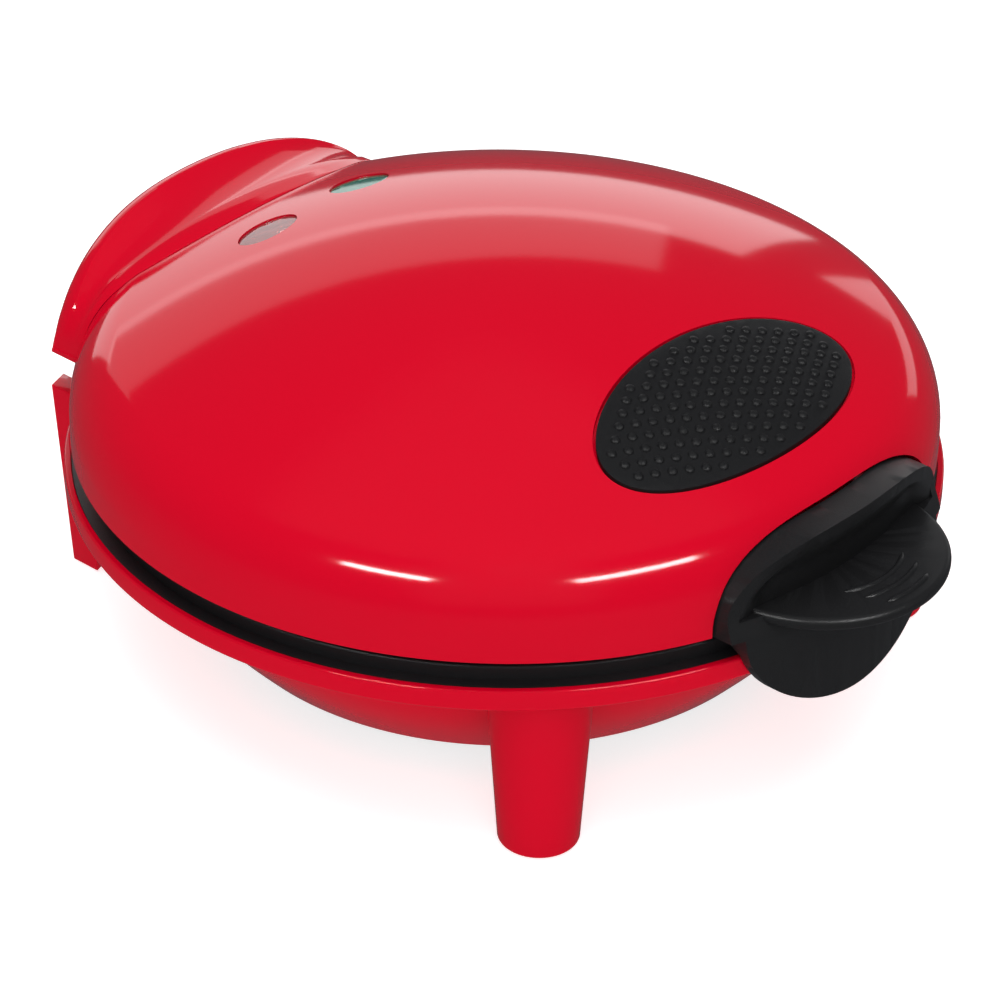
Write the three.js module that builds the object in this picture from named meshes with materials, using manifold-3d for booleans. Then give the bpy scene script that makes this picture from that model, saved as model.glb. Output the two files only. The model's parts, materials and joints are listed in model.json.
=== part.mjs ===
// A round countertop donut maker, closed, standing on two front legs and a rear stand.
// Millimetres, +Z up, the latch at the front (-Y) and the hinge at the back (+Y).
// The model is built about the vertical axis of the round body, then moved as one group
// so that its origin is the centre of its footprint, at the level of the counter.

import * as THREE from 'three';
import { mergeVertices } from 'three/addons/utils/BufferGeometryUtils.js';
import Module from 'manifold-3d';

const wasm = await Module();
wasm.setup();

// ---------------------------------------------------------------- driving dimensions

const GAP = 0.3;                    // clearance between pieces that touch
const BODY_RADIUS = 122;            // lid
const BASE_PROUD = 2;               // base rim outside the lid
const LID_EDGE = 64;                // height of the lid's lower edge above the counter
const LID_HEIGHT = 53;              // lid edge to the top of the dome
const LID_BAND = 6.8;               // straight part of the lid's side
const SHOULDER_RADIUS = 24.4;
const LID_WALL = 2.6;

const BASE_LIP_DROP = 7.5;          // lid edge down to the base lip
const RIM_DEPTH = 6.5;              // height of the rim face
const LIP_WALL = 1.8;
const LEDGE_DEPTH = 2.8;            // ledge below the lip, where the plate flange sits
const BASE_WALL = 2.6;
const BOWL_TOP_INSET = 16.5;        // inside the base rim
const BOWL_BOTTOM_INSET = 40;
const BOWL_BOTTOM = 11;             // underside of the bowl above the counter
const BOWL_BULGE = 4;
const COVER_THICKNESS = 2.4;
const COVER_LIP = 5;

const LEG_ANGLE = 43.5;             // degrees from the front, to each side
const LEG_TOP_RADIUS = 14.6;
const LEG_FOOT_RADIUS = 11.2;
const LEG_TOP_SETBACK = 14.2;       // leg axis inside the rim face, at the top
const LEG_FOOT_SETBACK = 11.3;      // and at the foot
const LEG_WALL = 2.4;
const LEG_ROUND = 1.2;
const PAD_PROUD = 0.5;              // rubber pads stand below the legs
const PAD_THICKNESS = 2.2;
const PAD_RADIUS = 7.6;
const REAR_PAD_RADIUS = 3.2;
const REAR_PAD_INSET = 8;           // inside the ends of the stand

const WING_HALF_WIDTH = 65.8;       // rear housings
const WING_OVERHANG = 4.3;          // their back face behind the lid, on the centre line
const WING_PLAN_RADIUS = 189.5;
const WING_RISE = 37.6;             // top of the upper wing above the lid edge
const WING_CLEARANCE = 0.6;         // its lower edge above the hinge knuckles
const WING_POWER = 2.42;            // roundness of its arched outline
const WING_DEPTH = 10.4;            // front to back at its ends
const WING_LENGTH = 36.3;           // back face to where its scoop meets the dome
const WING_SCOOP = 1.6;             // depth of the scoop
const WING_EDGE_RADIUS = 6;
const WING_WALL = 2.6;
const STAND_EAR_DROP = 6.4;         // top of the stand's ends below the lid edge
const STAND_SADDLE_DROP = 15;        // top of its middle below the lid edge
const STAND_EAR_LENGTH = 7;
const STAND_LEAN = 6;               // the stand's back leans in towards the counter
const STAND_DEPTH = 10;             // front to back
const STAND_WALL = 2.6;
const STAND_RIB_X = 40;             // ribs that brace it against the bowl

const HINGE_CLEARANCE = 1.1;        // between the lid and the knuckles
const HINGE_PIN_RADIUS = 2;
const KNUCKLE_RADIUS = 4.4;
const KNUCKLE_LENGTH = 9;
const HINGE_SPREAD = 26;            // centre of each hinge from the middle

const PLATE_INSET = 4.4;            // inside the lid
const PLATE_FLANGE = 2.1;
const PLATE_SPLIT_DROP = 3.6;       // the plates meet below the lid edge
const PLATE_WEB = 3.4;
const WELL_DEPTH = 9;
const POST_RADIUS = 9;
const WELL_SPACING = 8;             // between neighbouring wells
const WELL_MARGIN = 16.6;           // outer wells to the plate's edge
const WELL_WALL = 2.2;
const OUTER_WELLS = 6;
const SCREW_MARGIN = 19.6;          // three screws between the outer wells, inside the plate's edge
const SCREW_RADIUS = 2;
const SCREW_HEAD = 3.6;

const THERMOSTAT_PLACE = [-30, 20];
const FUSE_PLACE = [26, 22];
const TERMINAL_Y = 50;

const HEATER_RADIUS = 60;
const HEATER_TUBE = 3.2;
const HEATER_OPENING = 30;          // degrees left open at the back
const REFLECTOR_INSET = 12;         // inside the circle of screws
const REFLECTOR_SHEET = 0.9;
const REFLECTOR_RIM = 6;

const LAMP_X = 19;                  // lamp windows
const LAMP_SETBACK = 16.5;          // ahead of the hinge cover
const LAMP_HALF_LENGTH = 10.4;
const LAMP_HALF_WIDTH = 6.6;
const LAMP_RECESS = 1.4;
const LENS_THICKNESS = 2.2;
const NEON_RADIUS = 2.6;
const NEON_LENGTH = 12;

const GRIP_SETBACK = 43.5;          // middle of the grip pad, inside the lid's front
const GRIP_HALF_LENGTH = 48.4;
const GRIP_HALF_WIDTH = 22.8;       // seen from above
const GRIP_RECESS = 1.6;
const GRIP_THICKNESS = 2.6;

const LATCH_HALF_WIDTH = 45.4;
const LATCH_TOP = 23.4;             // above the lid edge
const LATCH_POWER = 2.8;            // roundness of the plate's upper corners
const LATCH_HOOD_DEPTH = 9.8;       // its rim reaches back this far into the notch
const LATCH_HOOD_WALL = 3;
const TONGUE_HALF_WIDTH = 41.5;
const TONGUE_DROP = 30.5;           // tongue tip below the lid edge
const TONGUE_POWER = 1.9;           // roundness of its outline
const LATCH_THICKNESS = 5;
const TONGUE_THICKNESS = 3;
const LATCH_PROUD = 2.8;            // plate face outside the lid band
const LATCH_DISH = 2.6;
const LATCH_BORDER = 4.5;
const LATCH_GAP = 0.8;              // clearance round the plate in its notch
const LATCH_BELT = 6;               // height over which plate and tongue merge, each side of the edge
const NOTCH_DEPTH = 12;
const SHELF_RADIUS = 36.4;
const SHELF_REACH = 25;             // ahead of the lid
const SHELF_TOP = 6;                // above the lid edge
const SHELF_THICKNESS = 3.8;
const RIB_INSETS = [13.1, 8.7, 4.4]; // inside the shelf's edge
const RIB_HALF_ANGLES = [33, 24, 16];
const RIB_SIZE = 1.1;
const PIVOT_HEIGHT = 13;            // latch pivot above the lid edge
const PIVOT_PIN_RADIUS = 1.2;
const PIVOT_EYE_RADIUS = 3.2;
const PIVOT_EYE_LENGTH = 6;
const PIVOT_SETBACK = 7.6;          // pivot inside the lid band
const PIVOT_SPREAD = 11;
const LUG_OFFSET = 5.2;             // lid lugs either side of each eye
const LUG_WIDTH = 3.2;
const LUG_RADIUS = 3.4;
const HOOK_HALF_WIDTH = 7.5;
const HOOK_HEIGHT = 4;

const INLET_HEIGHT = 30;            // cord inlet in the stand
const INLET_RADIUS = 5.2;

// how finely round shapes are faceted
const BODY_STEPS = 64;
const WELL_STEPS = 16;
const SMALL_STEPS = 16;

// ---------------------------------------------------------------- derived places

const baseRadius = BODY_RADIUS + BASE_PROUD;
const bowlTopRadius = baseRadius - BOWL_TOP_INSET;
const bowlBottomRadius = baseRadius - BOWL_BOTTOM_INSET;
const baseLip = LID_EDGE - BASE_LIP_DROP;
const rimBottom = baseLip - RIM_DEPTH;
const ledge = baseLip - LEDGE_DEPTH;
const plateSplit = LID_EDGE - PLATE_SPLIT_DROP;
const hingeZ = LID_EDGE;
const hingeY = BODY_RADIUS + HINGE_CLEARANCE + KNUCKLE_RADIUS;
const wingBack = BODY_RADIUS + WING_OVERHANG;
const wingFront = wingBack - WING_LENGTH;
const wingEdge = KNUCKLE_RADIUS + WING_CLEARANCE;
const plateRadius = BODY_RADIUS - PLATE_INSET;
const wellRadius = (plateRadius - WELL_MARGIN - WELL_SPACING) / 3;
const wellPitch = 2 * wellRadius + WELL_SPACING;
const screwCircle = plateRadius - SCREW_MARGIN;
const reflectorRadius = screwCircle - REFLECTOR_INSET;
const lampY = wingFront - LAMP_SETBACK;
const gripY = -(BODY_RADIUS - GRIP_SETBACK);
const shelfFront = BODY_RADIUS + SHELF_REACH;
const shelfCentreY = -(shelfFront - SHELF_RADIUS);
const pivotZ = LID_EDGE + PIVOT_HEIGHT;
const latchOuter = BODY_RADIUS + LATCH_PROUD;
const latchInner = latchOuter - LATCH_THICKNESS;
const tongueInner = baseRadius + 0.7;
const notchFloor = BODY_RADIUS - NOTCH_DEPTH;
const pivotY = -(BODY_RADIUS - PIVOT_SETBACK);
const rearPadX = WING_HALF_WIDTH - REAR_PAD_INSET;
const lowerPlateTop = plateSplit - GAP / 2;
const upperPlateFace = plateSplit + GAP / 2;

// ---------------------------------------------------------------- solid helpers

function solid(geometry) {
  const bare = geometry.index ? geometry.toNonIndexed() : geometry.clone();
  for (const name of Object.keys(bare.attributes)) {
    if (name !== 'position') bare.deleteAttribute(name);
  }
  const merged = mergeVertices(bare, 1e-4);
  const points = merged.attributes.position;
  const index = merged.index.array;
  const faces = [];
  let volume = 0;
  const a = new THREE.Vector3();
  const b = new THREE.Vector3();
  const c = new THREE.Vector3();
  for (let i = 0; i < index.length; i += 3) {
    const [p, q, r] = [index[i], index[i + 1], index[i + 2]];
    if (p === q || q === r || r === p) continue;
    faces.push(p, q, r);
    a.fromBufferAttribute(points, p);
    b.fromBufferAttribute(points, q);
    c.fromBufferAttribute(points, r);
    volume += a.dot(b.cross(c));
  }
  if (volume < 0) faces.reverse();
  return new wasm.Manifold(new wasm.Mesh({
    numProp: 3,
    vertProperties: new Float32Array(points.array),
    triVerts: new Uint32Array(faces),
  }));
}

function geometryOf(manifold) {
  const mesh = manifold.getMesh();
  const geometry = new THREE.BufferGeometry();
  geometry.setAttribute('position', new THREE.BufferAttribute(new Float32Array(mesh.vertProperties), 3));
  geometry.setIndex(new THREE.BufferAttribute(new Uint32Array(mesh.triVerts), 1));
  geometry.computeVertexNormals();
  return geometry;
}

function cut(body, ...tools) {
  return tools.reduce((left, tool) => left.subtract(tool), body);
}

function join(...bodies) {
  return bodies.reduce((left, right) => left.add(right));
}

// A profile of [radius, height] points turned round the Z axis.
function lathe(profile, steps = BODY_STEPS) {
  const points = profile.map(([r, z]) => new THREE.Vector2(r, z));
  const closed = points[0].equals(points[points.length - 1]);
  const onAxis = points[0].x === 0 && points[points.length - 1].x === 0;
  if (!closed && !onAxis) points.push(points[0].clone());
  return solid(new THREE.LatheGeometry(points, steps).rotateX(Math.PI / 2));
}

function box(x0, x1, y0, y1, z0, z1) {
  const geometry = new THREE.BoxGeometry(x1 - x0, y1 - y0, z1 - z0);
  return solid(geometry.translate((x0 + x1) / 2, (y0 + y1) / 2, (z0 + z1) / 2));
}

function upright(radius, x, y, z0, z1, steps = SMALL_STEPS) {
  const geometry = new THREE.CylinderGeometry(radius, radius, z1 - z0, steps).rotateX(Math.PI / 2);
  return solid(geometry.translate(x, y, (z0 + z1) / 2));
}

function crosswise(radius, x0, x1, y, z, steps = SMALL_STEPS) {
  const geometry = new THREE.CylinderGeometry(radius, radius, x1 - x0, steps).rotateZ(Math.PI / 2);
  return solid(geometry.translate((x0 + x1) / 2, y, z));
}

function frontward(radius, x, z, y0, y1, steps = SMALL_STEPS) {
  const geometry = new THREE.CylinderGeometry(radius, radius, y1 - y0, steps);
  return solid(geometry.translate(x, (y0 + y1) / 2, z));
}

// An outline of [x, z] points, carried from y0 to y1.
function frontPrism(outline, y0, y1) {
  const shape = new THREE.Shape(outline.map(([x, z]) => new THREE.Vector2(x, z)));
  const geometry = new THREE.ExtrudeGeometry(shape, { depth: y1 - y0, bevelEnabled: false });
  return solid(geometry.rotateX(Math.PI / 2).translate(0, y1, 0));
}

// An outline of [x, y] points, carried from z0 to z1.
function planPrism(outline, z0, z1) {
  const shape = new THREE.Shape(outline.map(([x, y]) => new THREE.Vector2(x, y)));
  const geometry = new THREE.ExtrudeGeometry(shape, { depth: z1 - z0, bevelEnabled: false });
  return solid(geometry.translate(0, 0, z0));
}

// Sections of [y, z] points, given clockwise, one at each x: one skin, closed at both ends.
function loftAlongX(stations) {
  const count = stations[0].ring.length;
  const positions = [];
  const push = (station, k) => {
    const [y, z] = station.ring[k % count];
    positions.push(station.x, y, z);
  };
  for (let i = 0; i + 1 < stations.length; i += 1) {
    for (let k = 0; k < count; k += 1) {
      push(stations[i], k);
      push(stations[i + 1], k);
      push(stations[i + 1], k + 1);
      push(stations[i], k);
      push(stations[i + 1], k + 1);
      push(stations[i], k + 1);
    }
  }
  for (const [station, clockwise] of [[stations[0], true], [stations[stations.length - 1], false]]) {
    const flat = station.ring.map(([y, z]) => new THREE.Vector2(y, z));
    for (const face of THREE.ShapeUtils.triangulateShape(flat, [])) {
      const turned = THREE.ShapeUtils.isClockWise(face.map((k) => flat[k]));
      const order = turned === clockwise ? face : [...face].reverse();
      for (const k of order) push(station, k);
    }
  }
  const geometry = new THREE.BufferGeometry();
  geometry.setAttribute('position', new THREE.Float32BufferAttribute(positions, 3));
  return solid(geometry);
}

function arc(centreR, centreZ, radius, from, to, steps) {
  const points = [];
  for (let i = 0; i <= steps; i += 1) {
    const angle = THREE.MathUtils.degToRad(from + (to - from) * i / steps);
    points.push([centreR + radius * Math.cos(angle), centreZ + radius * Math.sin(angle)]);
  }
  return points;
}

function ellipse(centreX, centreY, halfLength, halfWidth, steps) {
  const points = [];
  for (let i = 0; i < steps; i += 1) {
    const angle = 2 * Math.PI * i / steps;
    points.push([centreX + halfLength * Math.cos(angle), centreY + halfWidth * Math.sin(angle)]);
  }
  return points;
}

function around(count, radius, firstAngle) {
  const places = [];
  for (let i = 0; i < count; i += 1) {
    const angle = THREE.MathUtils.degToRad(firstAngle + 360 * i / count);
    places.push([radius * Math.cos(angle), radius * Math.sin(angle)]);
  }
  return places;
}

// ---------------------------------------------------------------- materials and the assembly

function finish(color, roughness, metalness = 0) {
  return () => new THREE.MeshStandardMaterial({ color, roughness, metalness });
}

const redPlastic = finish(0xd00020, 0.12);
const blackPlastic = finish(0x1c1c1c, 0.6);
const blackRubber = finish(0x202020, 0.8);
const darkPlastic = finish(0x2a2a2a, 0.7);
const nonStick = finish(0x101010, 0.4, 0.2);
const steel = finish(0xb8babd, 0.35, 1);
const brightSteel = finish(0xd0d2d4, 0.2, 1);
const aluminium = finish(0xc4c7ca, 0.4, 1);
const ceramic = finish(0xe8e4da, 0.7);
const greenLens = finish(0x1f9a6a, 0.1);
const redLens = finish(0xb03030, 0.1);
const clearGlass = finish(0xf0d0c0, 0.1);

const donutMaker = new THREE.Group();

function add(name, manifold, material) {
  const mesh = new THREE.Mesh(geometryOf(manifold), material());
  mesh.name = name;
  donutMaker.add(mesh);
}

// ---------------------------------------------------------------- the lid's dome

function domeRadius() {
  const crown = LID_HEIGHT - LID_BAND;
  const inset = BODY_RADIUS - SHOULDER_RADIUS;
  return (inset ** 2 + crown ** 2 - SHOULDER_RADIUS ** 2) / (2 * (crown - SHOULDER_RADIUS));
}

// The lid's outer profile, moved outwards by the given amount (inwards if negative).
function lidProfile(offset, bottom) {
  const rho = domeRadius();
  const centreZ = LID_EDGE + LID_HEIGHT - rho;
  const shoulderR = BODY_RADIUS - SHOULDER_RADIUS;
  const shoulderZ = LID_EDGE + LID_BAND;
  const meet = THREE.MathUtils.radToDeg(Math.atan2(shoulderZ - centreZ, shoulderR));
  const side = BODY_RADIUS + offset;
  const shoulder = arc(shoulderR, shoulderZ, SHOULDER_RADIUS + offset, 0, meet, 6);
  const crown = arc(0, centreZ, rho + offset, meet, 90, 5).slice(1, -1);
  return [[0, bottom], [side, bottom], ...shoulder, ...crown, [0, centreZ + rho + offset]];
}

function domeHeight(radius) {
  const rho = domeRadius();
  return LID_EDGE + LID_HEIGHT - rho + Math.sqrt(rho ** 2 - radius ** 2);
}

function innerDomeHeight(radius) {
  const rho = domeRadius();
  return LID_EDGE + LID_HEIGHT - rho + Math.sqrt((rho - LID_WALL) ** 2 - radius ** 2);
}

function domeSlope(radius) {
  return Math.asin(radius / domeRadius());
}

function lidSolid(offset, bottom) {
  return lathe(lidProfile(offset, bottom));
}

// ---------------------------------------------------------------- the latch

// The front outline of the latch, grown by the given amount, above the lid edge only.
function plateOutline(grow) {
  const right = [];
  for (let i = 0; i <= 9; i += 1) {
    const turn = Math.PI / 2 * i / 9;
    const across = Math.cos(turn) ** (2 / LATCH_POWER);
    const rise = Math.sin(turn) ** (2 / LATCH_POWER);
    right.push([(LATCH_HALF_WIDTH + grow) * across, LID_EDGE + (LATCH_TOP + grow) * rise]);
  }
  right[9][0] = 0;
  return [...right, ...right.slice(0, -1).map(([x, z]) => [-x, z]).reverse()];
}

// The tongue's outline: the lower half of a rounded oval.
function tongueOutline() {
  const points = [[-TONGUE_HALF_WIDTH, LID_EDGE + 0.5], [TONGUE_HALF_WIDTH, LID_EDGE + 0.5]];
  for (let i = 0; i <= 20; i += 1) {
    const turn = Math.PI * i / 20;
    const across = Math.sign(Math.cos(turn)) * Math.abs(Math.cos(turn)) ** (2 / TONGUE_POWER);
    const drop = i === 20 ? 0 : Math.sin(turn) ** (2 / TONGUE_POWER);
    points.push([TONGUE_HALF_WIDTH * across, LID_EDGE - TONGUE_DROP * drop]);
  }
  return points.reverse();
}

function ring(inner, outer, z0, z1, steps = BODY_STEPS) {
  return lathe([[inner, z0], [outer, z0], [outer, z1], [inner, z1]], steps);
}

function makeLatch() {
  const far = -(shelfFront + 10);
  const shelfZ = LID_EDGE + SHELF_TOP;
  const top = LID_EDGE + LATCH_TOP + 1;
  const tongueOuter = tongueInner + TONGUE_THICKNESS;
  const wall = lathe([
    [tongueInner, LID_EDGE - TONGUE_DROP - 1],
    [tongueOuter, LID_EDGE - TONGUE_DROP - 1],
    [tongueOuter, LID_EDGE - LATCH_BELT / 2],
    [(tongueOuter + latchOuter) / 2, LID_EDGE + LATCH_BELT * 0.7],
    [latchOuter, LID_EDGE + LATCH_BELT * 1.5],
    [latchOuter, top],
    [latchInner, top],
    [latchInner, LID_EDGE - 1.5],
    [tongueInner, LID_EDGE - LATCH_BELT],
  ]);
  const front = join(frontPrism(plateOutline(0), far, 0), frontPrism(tongueOutline(), far, 0));
  const dish = frontPrism(plateOutline(-LATCH_BORDER), far, 0).intersect(lathe([
    [latchOuter - LATCH_DISH * 0.4, shelfZ],
    [latchOuter + 5, shelfZ],
    [latchOuter + 5, top],
    [latchOuter - LATCH_DISH * 0.2, top],
    [latchOuter - LATCH_DISH, shelfZ + 6],
  ]));
  const hood = cut(frontPrism(plateOutline(0), far, 0), frontPrism(plateOutline(-LATCH_HOOD_WALL), far, 0))
    .intersect(ring(latchOuter - LATCH_HOOD_DEPTH, latchInner + 0.5, shelfZ - 1, top));
  const shelfDisc = upright(SHELF_RADIUS, 0, shelfCentreY, shelfZ - SHELF_THICKNESS, shelfZ, 48);
  const shelf = cut(shelfDisc, upright(latchInner + 0.5, 0, 0, LID_EDGE - 5, shelfZ + 5, BODY_STEPS));
  const ribs = RIB_INSETS.map((inset, i) => {
    const radius = SHELF_RADIUS - inset;
    const half = THREE.MathUtils.degToRad(RIB_HALF_ANGLES[i]);
    const points = [];
    for (const [r, way] of [[radius - RIB_SIZE / 2, 1], [radius + RIB_SIZE / 2, -1]]) {
      for (let k = -4; k <= 4; k += 1) {
        const angle = half * k * way / 4;
        points.push([r * Math.sin(angle), shelfCentreY - r * Math.cos(angle)]);
      }
    }
    return planPrism(points, shelfZ - 0.5, shelfZ + 0.7);
  });
  const nib = box(-HOOK_HALF_WIDTH, HOOK_HALF_WIDTH, -(tongueInner + 1), -(baseRadius + GAP),
    rimBottom - HOOK_HEIGHT - 1, rimBottom - 1);
  const eyes = [-PIVOT_SPREAD, PIVOT_SPREAD].map((x) => {
    const half = PIVOT_EYE_LENGTH / 2;
    const eye = crosswise(PIVOT_EYE_RADIUS, x - half, x + half, pivotY, pivotZ);
    const root = box(x - half, x + half, -(latchInner + 0.8), pivotY, pivotZ - PIVOT_EYE_RADIUS,
      pivotZ + PIVOT_EYE_RADIUS);
    return join(eye, root);
  });
  const bore = crosswise(PIVOT_PIN_RADIUS + GAP, -60, 60, pivotY, pivotZ);
  return cut(join(cut(front.intersect(wall), dish), hood, shelf, ...ribs, nib, ...eyes), bore);
}

const pinHalfLength = PIVOT_SPREAD + LUG_OFFSET + LUG_WIDTH / 2 + 0.8;

function makeLatchPin() {
  return crosswise(PIVOT_PIN_RADIUS, -pinHalfLength, pinHalfLength, pivotY, pivotZ);
}

// A small coil round the pin, between the two eyes.
function makeLatchSpring() {
  const coil = PIVOT_PIN_RADIUS + 1.1;
  const turns = 4;
  const pitch = 1.6;
  class Coil extends THREE.Curve {
    getPoint(t, target = new THREE.Vector3()) {
      const angle = 2 * Math.PI * turns * t;
      return target.set((t - 0.5) * turns * pitch, pivotY + coil * Math.cos(angle),
        pivotZ + coil * Math.sin(angle));
    }
  }
  const wire = new THREE.Shape(ellipse(0, 0, 0.45, 0.45, 5).map(([x, y]) => new THREE.Vector2(x, y)));
  return solid(new THREE.ExtrudeGeometry(wire, { steps: turns * 9, extrudePath: new Coil() }));
}

// ---------------------------------------------------------------- the lid

function lampPlaces() {
  return [-LAMP_X, LAMP_X].map((x) => [x, lampY, domeHeight(Math.hypot(x, lampY))]);
}

// An oval plug through the dome, square to its surface at (x, y).
function domePlug(x, y, halfLength, halfWidth, below, above, steps) {
  const radius = Math.hypot(x, y);
  const tilt = domeSlope(Math.abs(y)) * -Math.sign(y);
  const outline = ellipse(0, 0, halfLength, halfWidth, steps).map(([u, v]) => new THREE.Vector2(u, v));
  const geometry = new THREE.ExtrudeGeometry(new THREE.Shape(outline),
    { depth: above + below, bevelEnabled: false });
  geometry.translate(0, 0, -below).rotateX(tilt).translate(x, y, domeHeight(radius));
  return solid(geometry);
}

// The notch for the latch: what lies outside the given radius, within the latch's outline.
function notch(grow, radius) {
  return cut(frontPrism(plateOutline(grow), -200, -60),
    upright(radius, 0, 0, LID_EDGE - 5, LID_EDGE + LATCH_TOP + 20, BODY_STEPS));
}

function plateScrewPlaces() {
  return around(3, screwCircle, 0);
}

// A lug that holds the latch pin: rounded about the pin, and rooted in the notch's wall.
function makeLug(x) {
  const half = LUG_WIDTH / 2;
  const nose = crosswise(LUG_RADIUS, x - half, x + half, pivotY, pivotZ);
  return join(nose, box(x - half, x + half, pivotY, 0, pivotZ - LUG_RADIUS, pivotZ + LUG_RADIUS));
}

function makeLidShell() {
  const thickened = join(notch(LATCH_GAP + LID_WALL, notchFloor - LID_WALL),
    gripSeat(GRIP_RECESS + LID_WALL, LID_WALL));
  const inside = cut(lidSolid(-LID_WALL, LID_EDGE - 1), thickened);
  const bosses = plateScrewPlaces().map(([x, y]) => (
    upright(5, x, y, upperPlateFace + PLATE_WEB + GAP, LID_EDGE + LID_HEIGHT, 12)
  ));
  const bores = plateScrewPlaces().map(([x, y]) => (
    upright(SCREW_RADIUS + GAP, x, y, LID_EDGE, LID_EDGE + 24, 12)
  ));
  const windows = lampPlaces().map(([x, y]) => (
    domePlug(x, y, LAMP_HALF_LENGTH, LAMP_HALF_WIDTH, 12, 12, 32)
  ));
  const lugs = [-1, 1].flatMap((side) => [PIVOT_SPREAD - LUG_OFFSET, PIVOT_SPREAD + LUG_OFFSET].map((x) => (
    makeLug(side * x)
  )));
  const lugRoom = cut(upright(BODY_RADIUS, 0, 0, LID_EDGE, pivotZ + 20, BODY_STEPS),
    upright(notchFloor - LID_WALL / 2, 0, 0, LID_EDGE - 1, pivotZ + 21, BODY_STEPS));
  const pinBore = crosswise(PIVOT_PIN_RADIUS + GAP, -pinHalfLength - 1, pinHalfLength + 1, pivotY, pivotZ);
  const shell = cut(lidSolid(0, LID_EDGE), notch(LATCH_GAP, notchFloor), inside);
  const body = join(shell, join(...bosses).intersect(lidSolid(-LID_WALL / 2, LID_EDGE)),
    join(...lugs).intersect(lugRoom));
  return cut(body, pinBore, gripSeat(GRIP_RECESS, 0), ...windows, ...bores);
}

// The oval seat of the grip pad: everything above a surface that lies under the dome.
function gripSeat(depth, grow) {
  const plug = planPrism(ellipse(0, gripY, GRIP_HALF_LENGTH + grow, GRIP_HALF_WIDTH + grow, 48),
    LID_EDGE + 10, LID_EDGE + LID_HEIGHT + 10);
  return cut(plug, lidSolid(-depth, LID_EDGE));
}

function makeGripPad() {
  const plug = planPrism(ellipse(0, gripY, GRIP_HALF_LENGTH - 0.8, GRIP_HALF_WIDTH - 0.8, 48),
    LID_EDGE + 10, LID_EDGE + LID_HEIGHT + 10);
  const floor = lidSolid(-(GRIP_RECESS - GAP), LID_EDGE);
  const top = lidSolid(GRIP_THICKNESS - GRIP_RECESS - 0.6, LID_EDGE);
  return cut(plug, floor).intersect(top);
}

function makeLens(place) {
  const [x, y] = place;
  return domePlug(x, y, LAMP_HALF_LENGTH - GAP, LAMP_HALF_WIDTH - GAP,
    LAMP_RECESS + LENS_THICKNESS, -LAMP_RECESS, 32);
}

function makeNeon(place) {
  const [x, y, z] = place;
  const height = z - LAMP_RECESS - LENS_THICKNESS - NEON_RADIUS - 3.2;
  return crosswise(NEON_RADIUS, x - NEON_LENGTH / 2, x + NEON_LENGTH / 2, y, height, 12);
}

function makeLampHolder() {
  const [, y, z] = lampPlaces()[0];
  const neonZ = z - LAMP_RECESS - LENS_THICKNESS - NEON_RADIUS - 3.2;
  const bottom = neonZ - NEON_RADIUS - GAP - 2;
  const half = LAMP_X + NEON_LENGTH / 2 + 3;
  const bar = box(-half, half, y - 5, y + 5, bottom, neonZ);
  const beds = lampPlaces().map(([x]) => (
    crosswise(NEON_RADIUS + GAP, x - NEON_LENGTH / 2 - GAP, x + NEON_LENGTH / 2 + GAP, y, neonZ, 12)
  ));
  const middle = box(-6, 6, y - 2, y + 2, neonZ - 1, innerDomeHeight(Math.hypot(6, y + 2)) - 2 * GAP);
  return cut(bar.add(middle), ...beds);
}

// ---------------------------------------------------------------- the rear housings

function wingBackAt(x) {
  return wingBack - x ** 2 / (2 * WING_PLAN_RADIUS);
}

function wingTopAt(x, inset) {
  const share = Math.min(1, Math.abs(x) / (WING_HALF_WIDTH - inset));
  return LID_EDGE + (WING_RISE - inset) * (1 - share ** WING_POWER) ** (1 / WING_POWER);
}

// The front of the wing: near the dome's shoulder in the middle, beside the lid at the ends.
function wingFrontAt(x) {
  const end = wingBackAt(WING_HALF_WIDTH) - WING_DEPTH;
  const share = Math.min(1, Math.abs(x) / WING_HALF_WIDTH);
  return wingFront + (end - wingFront) * share ** 2;
}

function wingSection(x, inset, bottom) {
  const back = wingBackAt(x) - inset;
  const front = wingFrontAt(x) + inset;
  const top = Math.max(wingTopAt(x, inset), bottom + 1.5);
  const edge = Math.min(WING_EDGE_RADIUS, (top - bottom) * 0.6, (back - front) * 0.4);
  const crest = back - edge;
  const dip = Math.min(WING_SCOOP, (top - bottom) * 0.2);
  const start = Math.min(domeHeight(Math.hypot(x, front)) - 0.5 - inset, top);
  const points = [[front, bottom], [front, start]];
  for (const share of [0.2, 0.4, 0.6, 0.8]) {
    const sag = dip * Math.sin(Math.PI * share);
    points.push([front + (crest - front) * share, start + (top - start) * share - sag]);
  }
  for (const angle of [90, 60, 30, 0]) {
    const turn = THREE.MathUtils.degToRad(angle);
    points.push([crest + edge * Math.cos(turn), top - edge + edge * Math.sin(turn)]);
  }
  points.push([back, bottom]);
  return points;
}

function wingLoft(inset, bottom) {
  const half = WING_HALF_WIDTH - inset;
  const stations = [];
  for (let i = 0; i <= 24; i += 1) {
    const x = -half * Math.cos(Math.PI * i / 24);
    stations.push({ x, ring: wingSection(x, inset, bottom) });
  }
  return loftAlongX(stations);
}

function makeHingeCover() {
  const bottom = LID_EDGE + wingEdge;
  const shell = cut(wingLoft(0, bottom), wingLoft(WING_WALL, bottom - 4));
  return cut(shell, lidSolid(GAP, LID_EDGE - 10));
}

// The stand's plan: its back follows the wing, its front runs the given depth ahead of that.
function standPlan(inset, depth, z0, z1) {
  const half = WING_HALF_WIDTH - inset;
  const back = [];
  for (let i = 0; i <= 16; i += 1) {
    const x = half - 2 * half * i / 16;
    back.push([x, wingBackAt(x) + 0.9 - inset]);
  }
  const front = back.map(([x, y]) => [x, y - depth]).reverse();
  return planPrism([...back, ...front], z0, z1);
}

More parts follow.
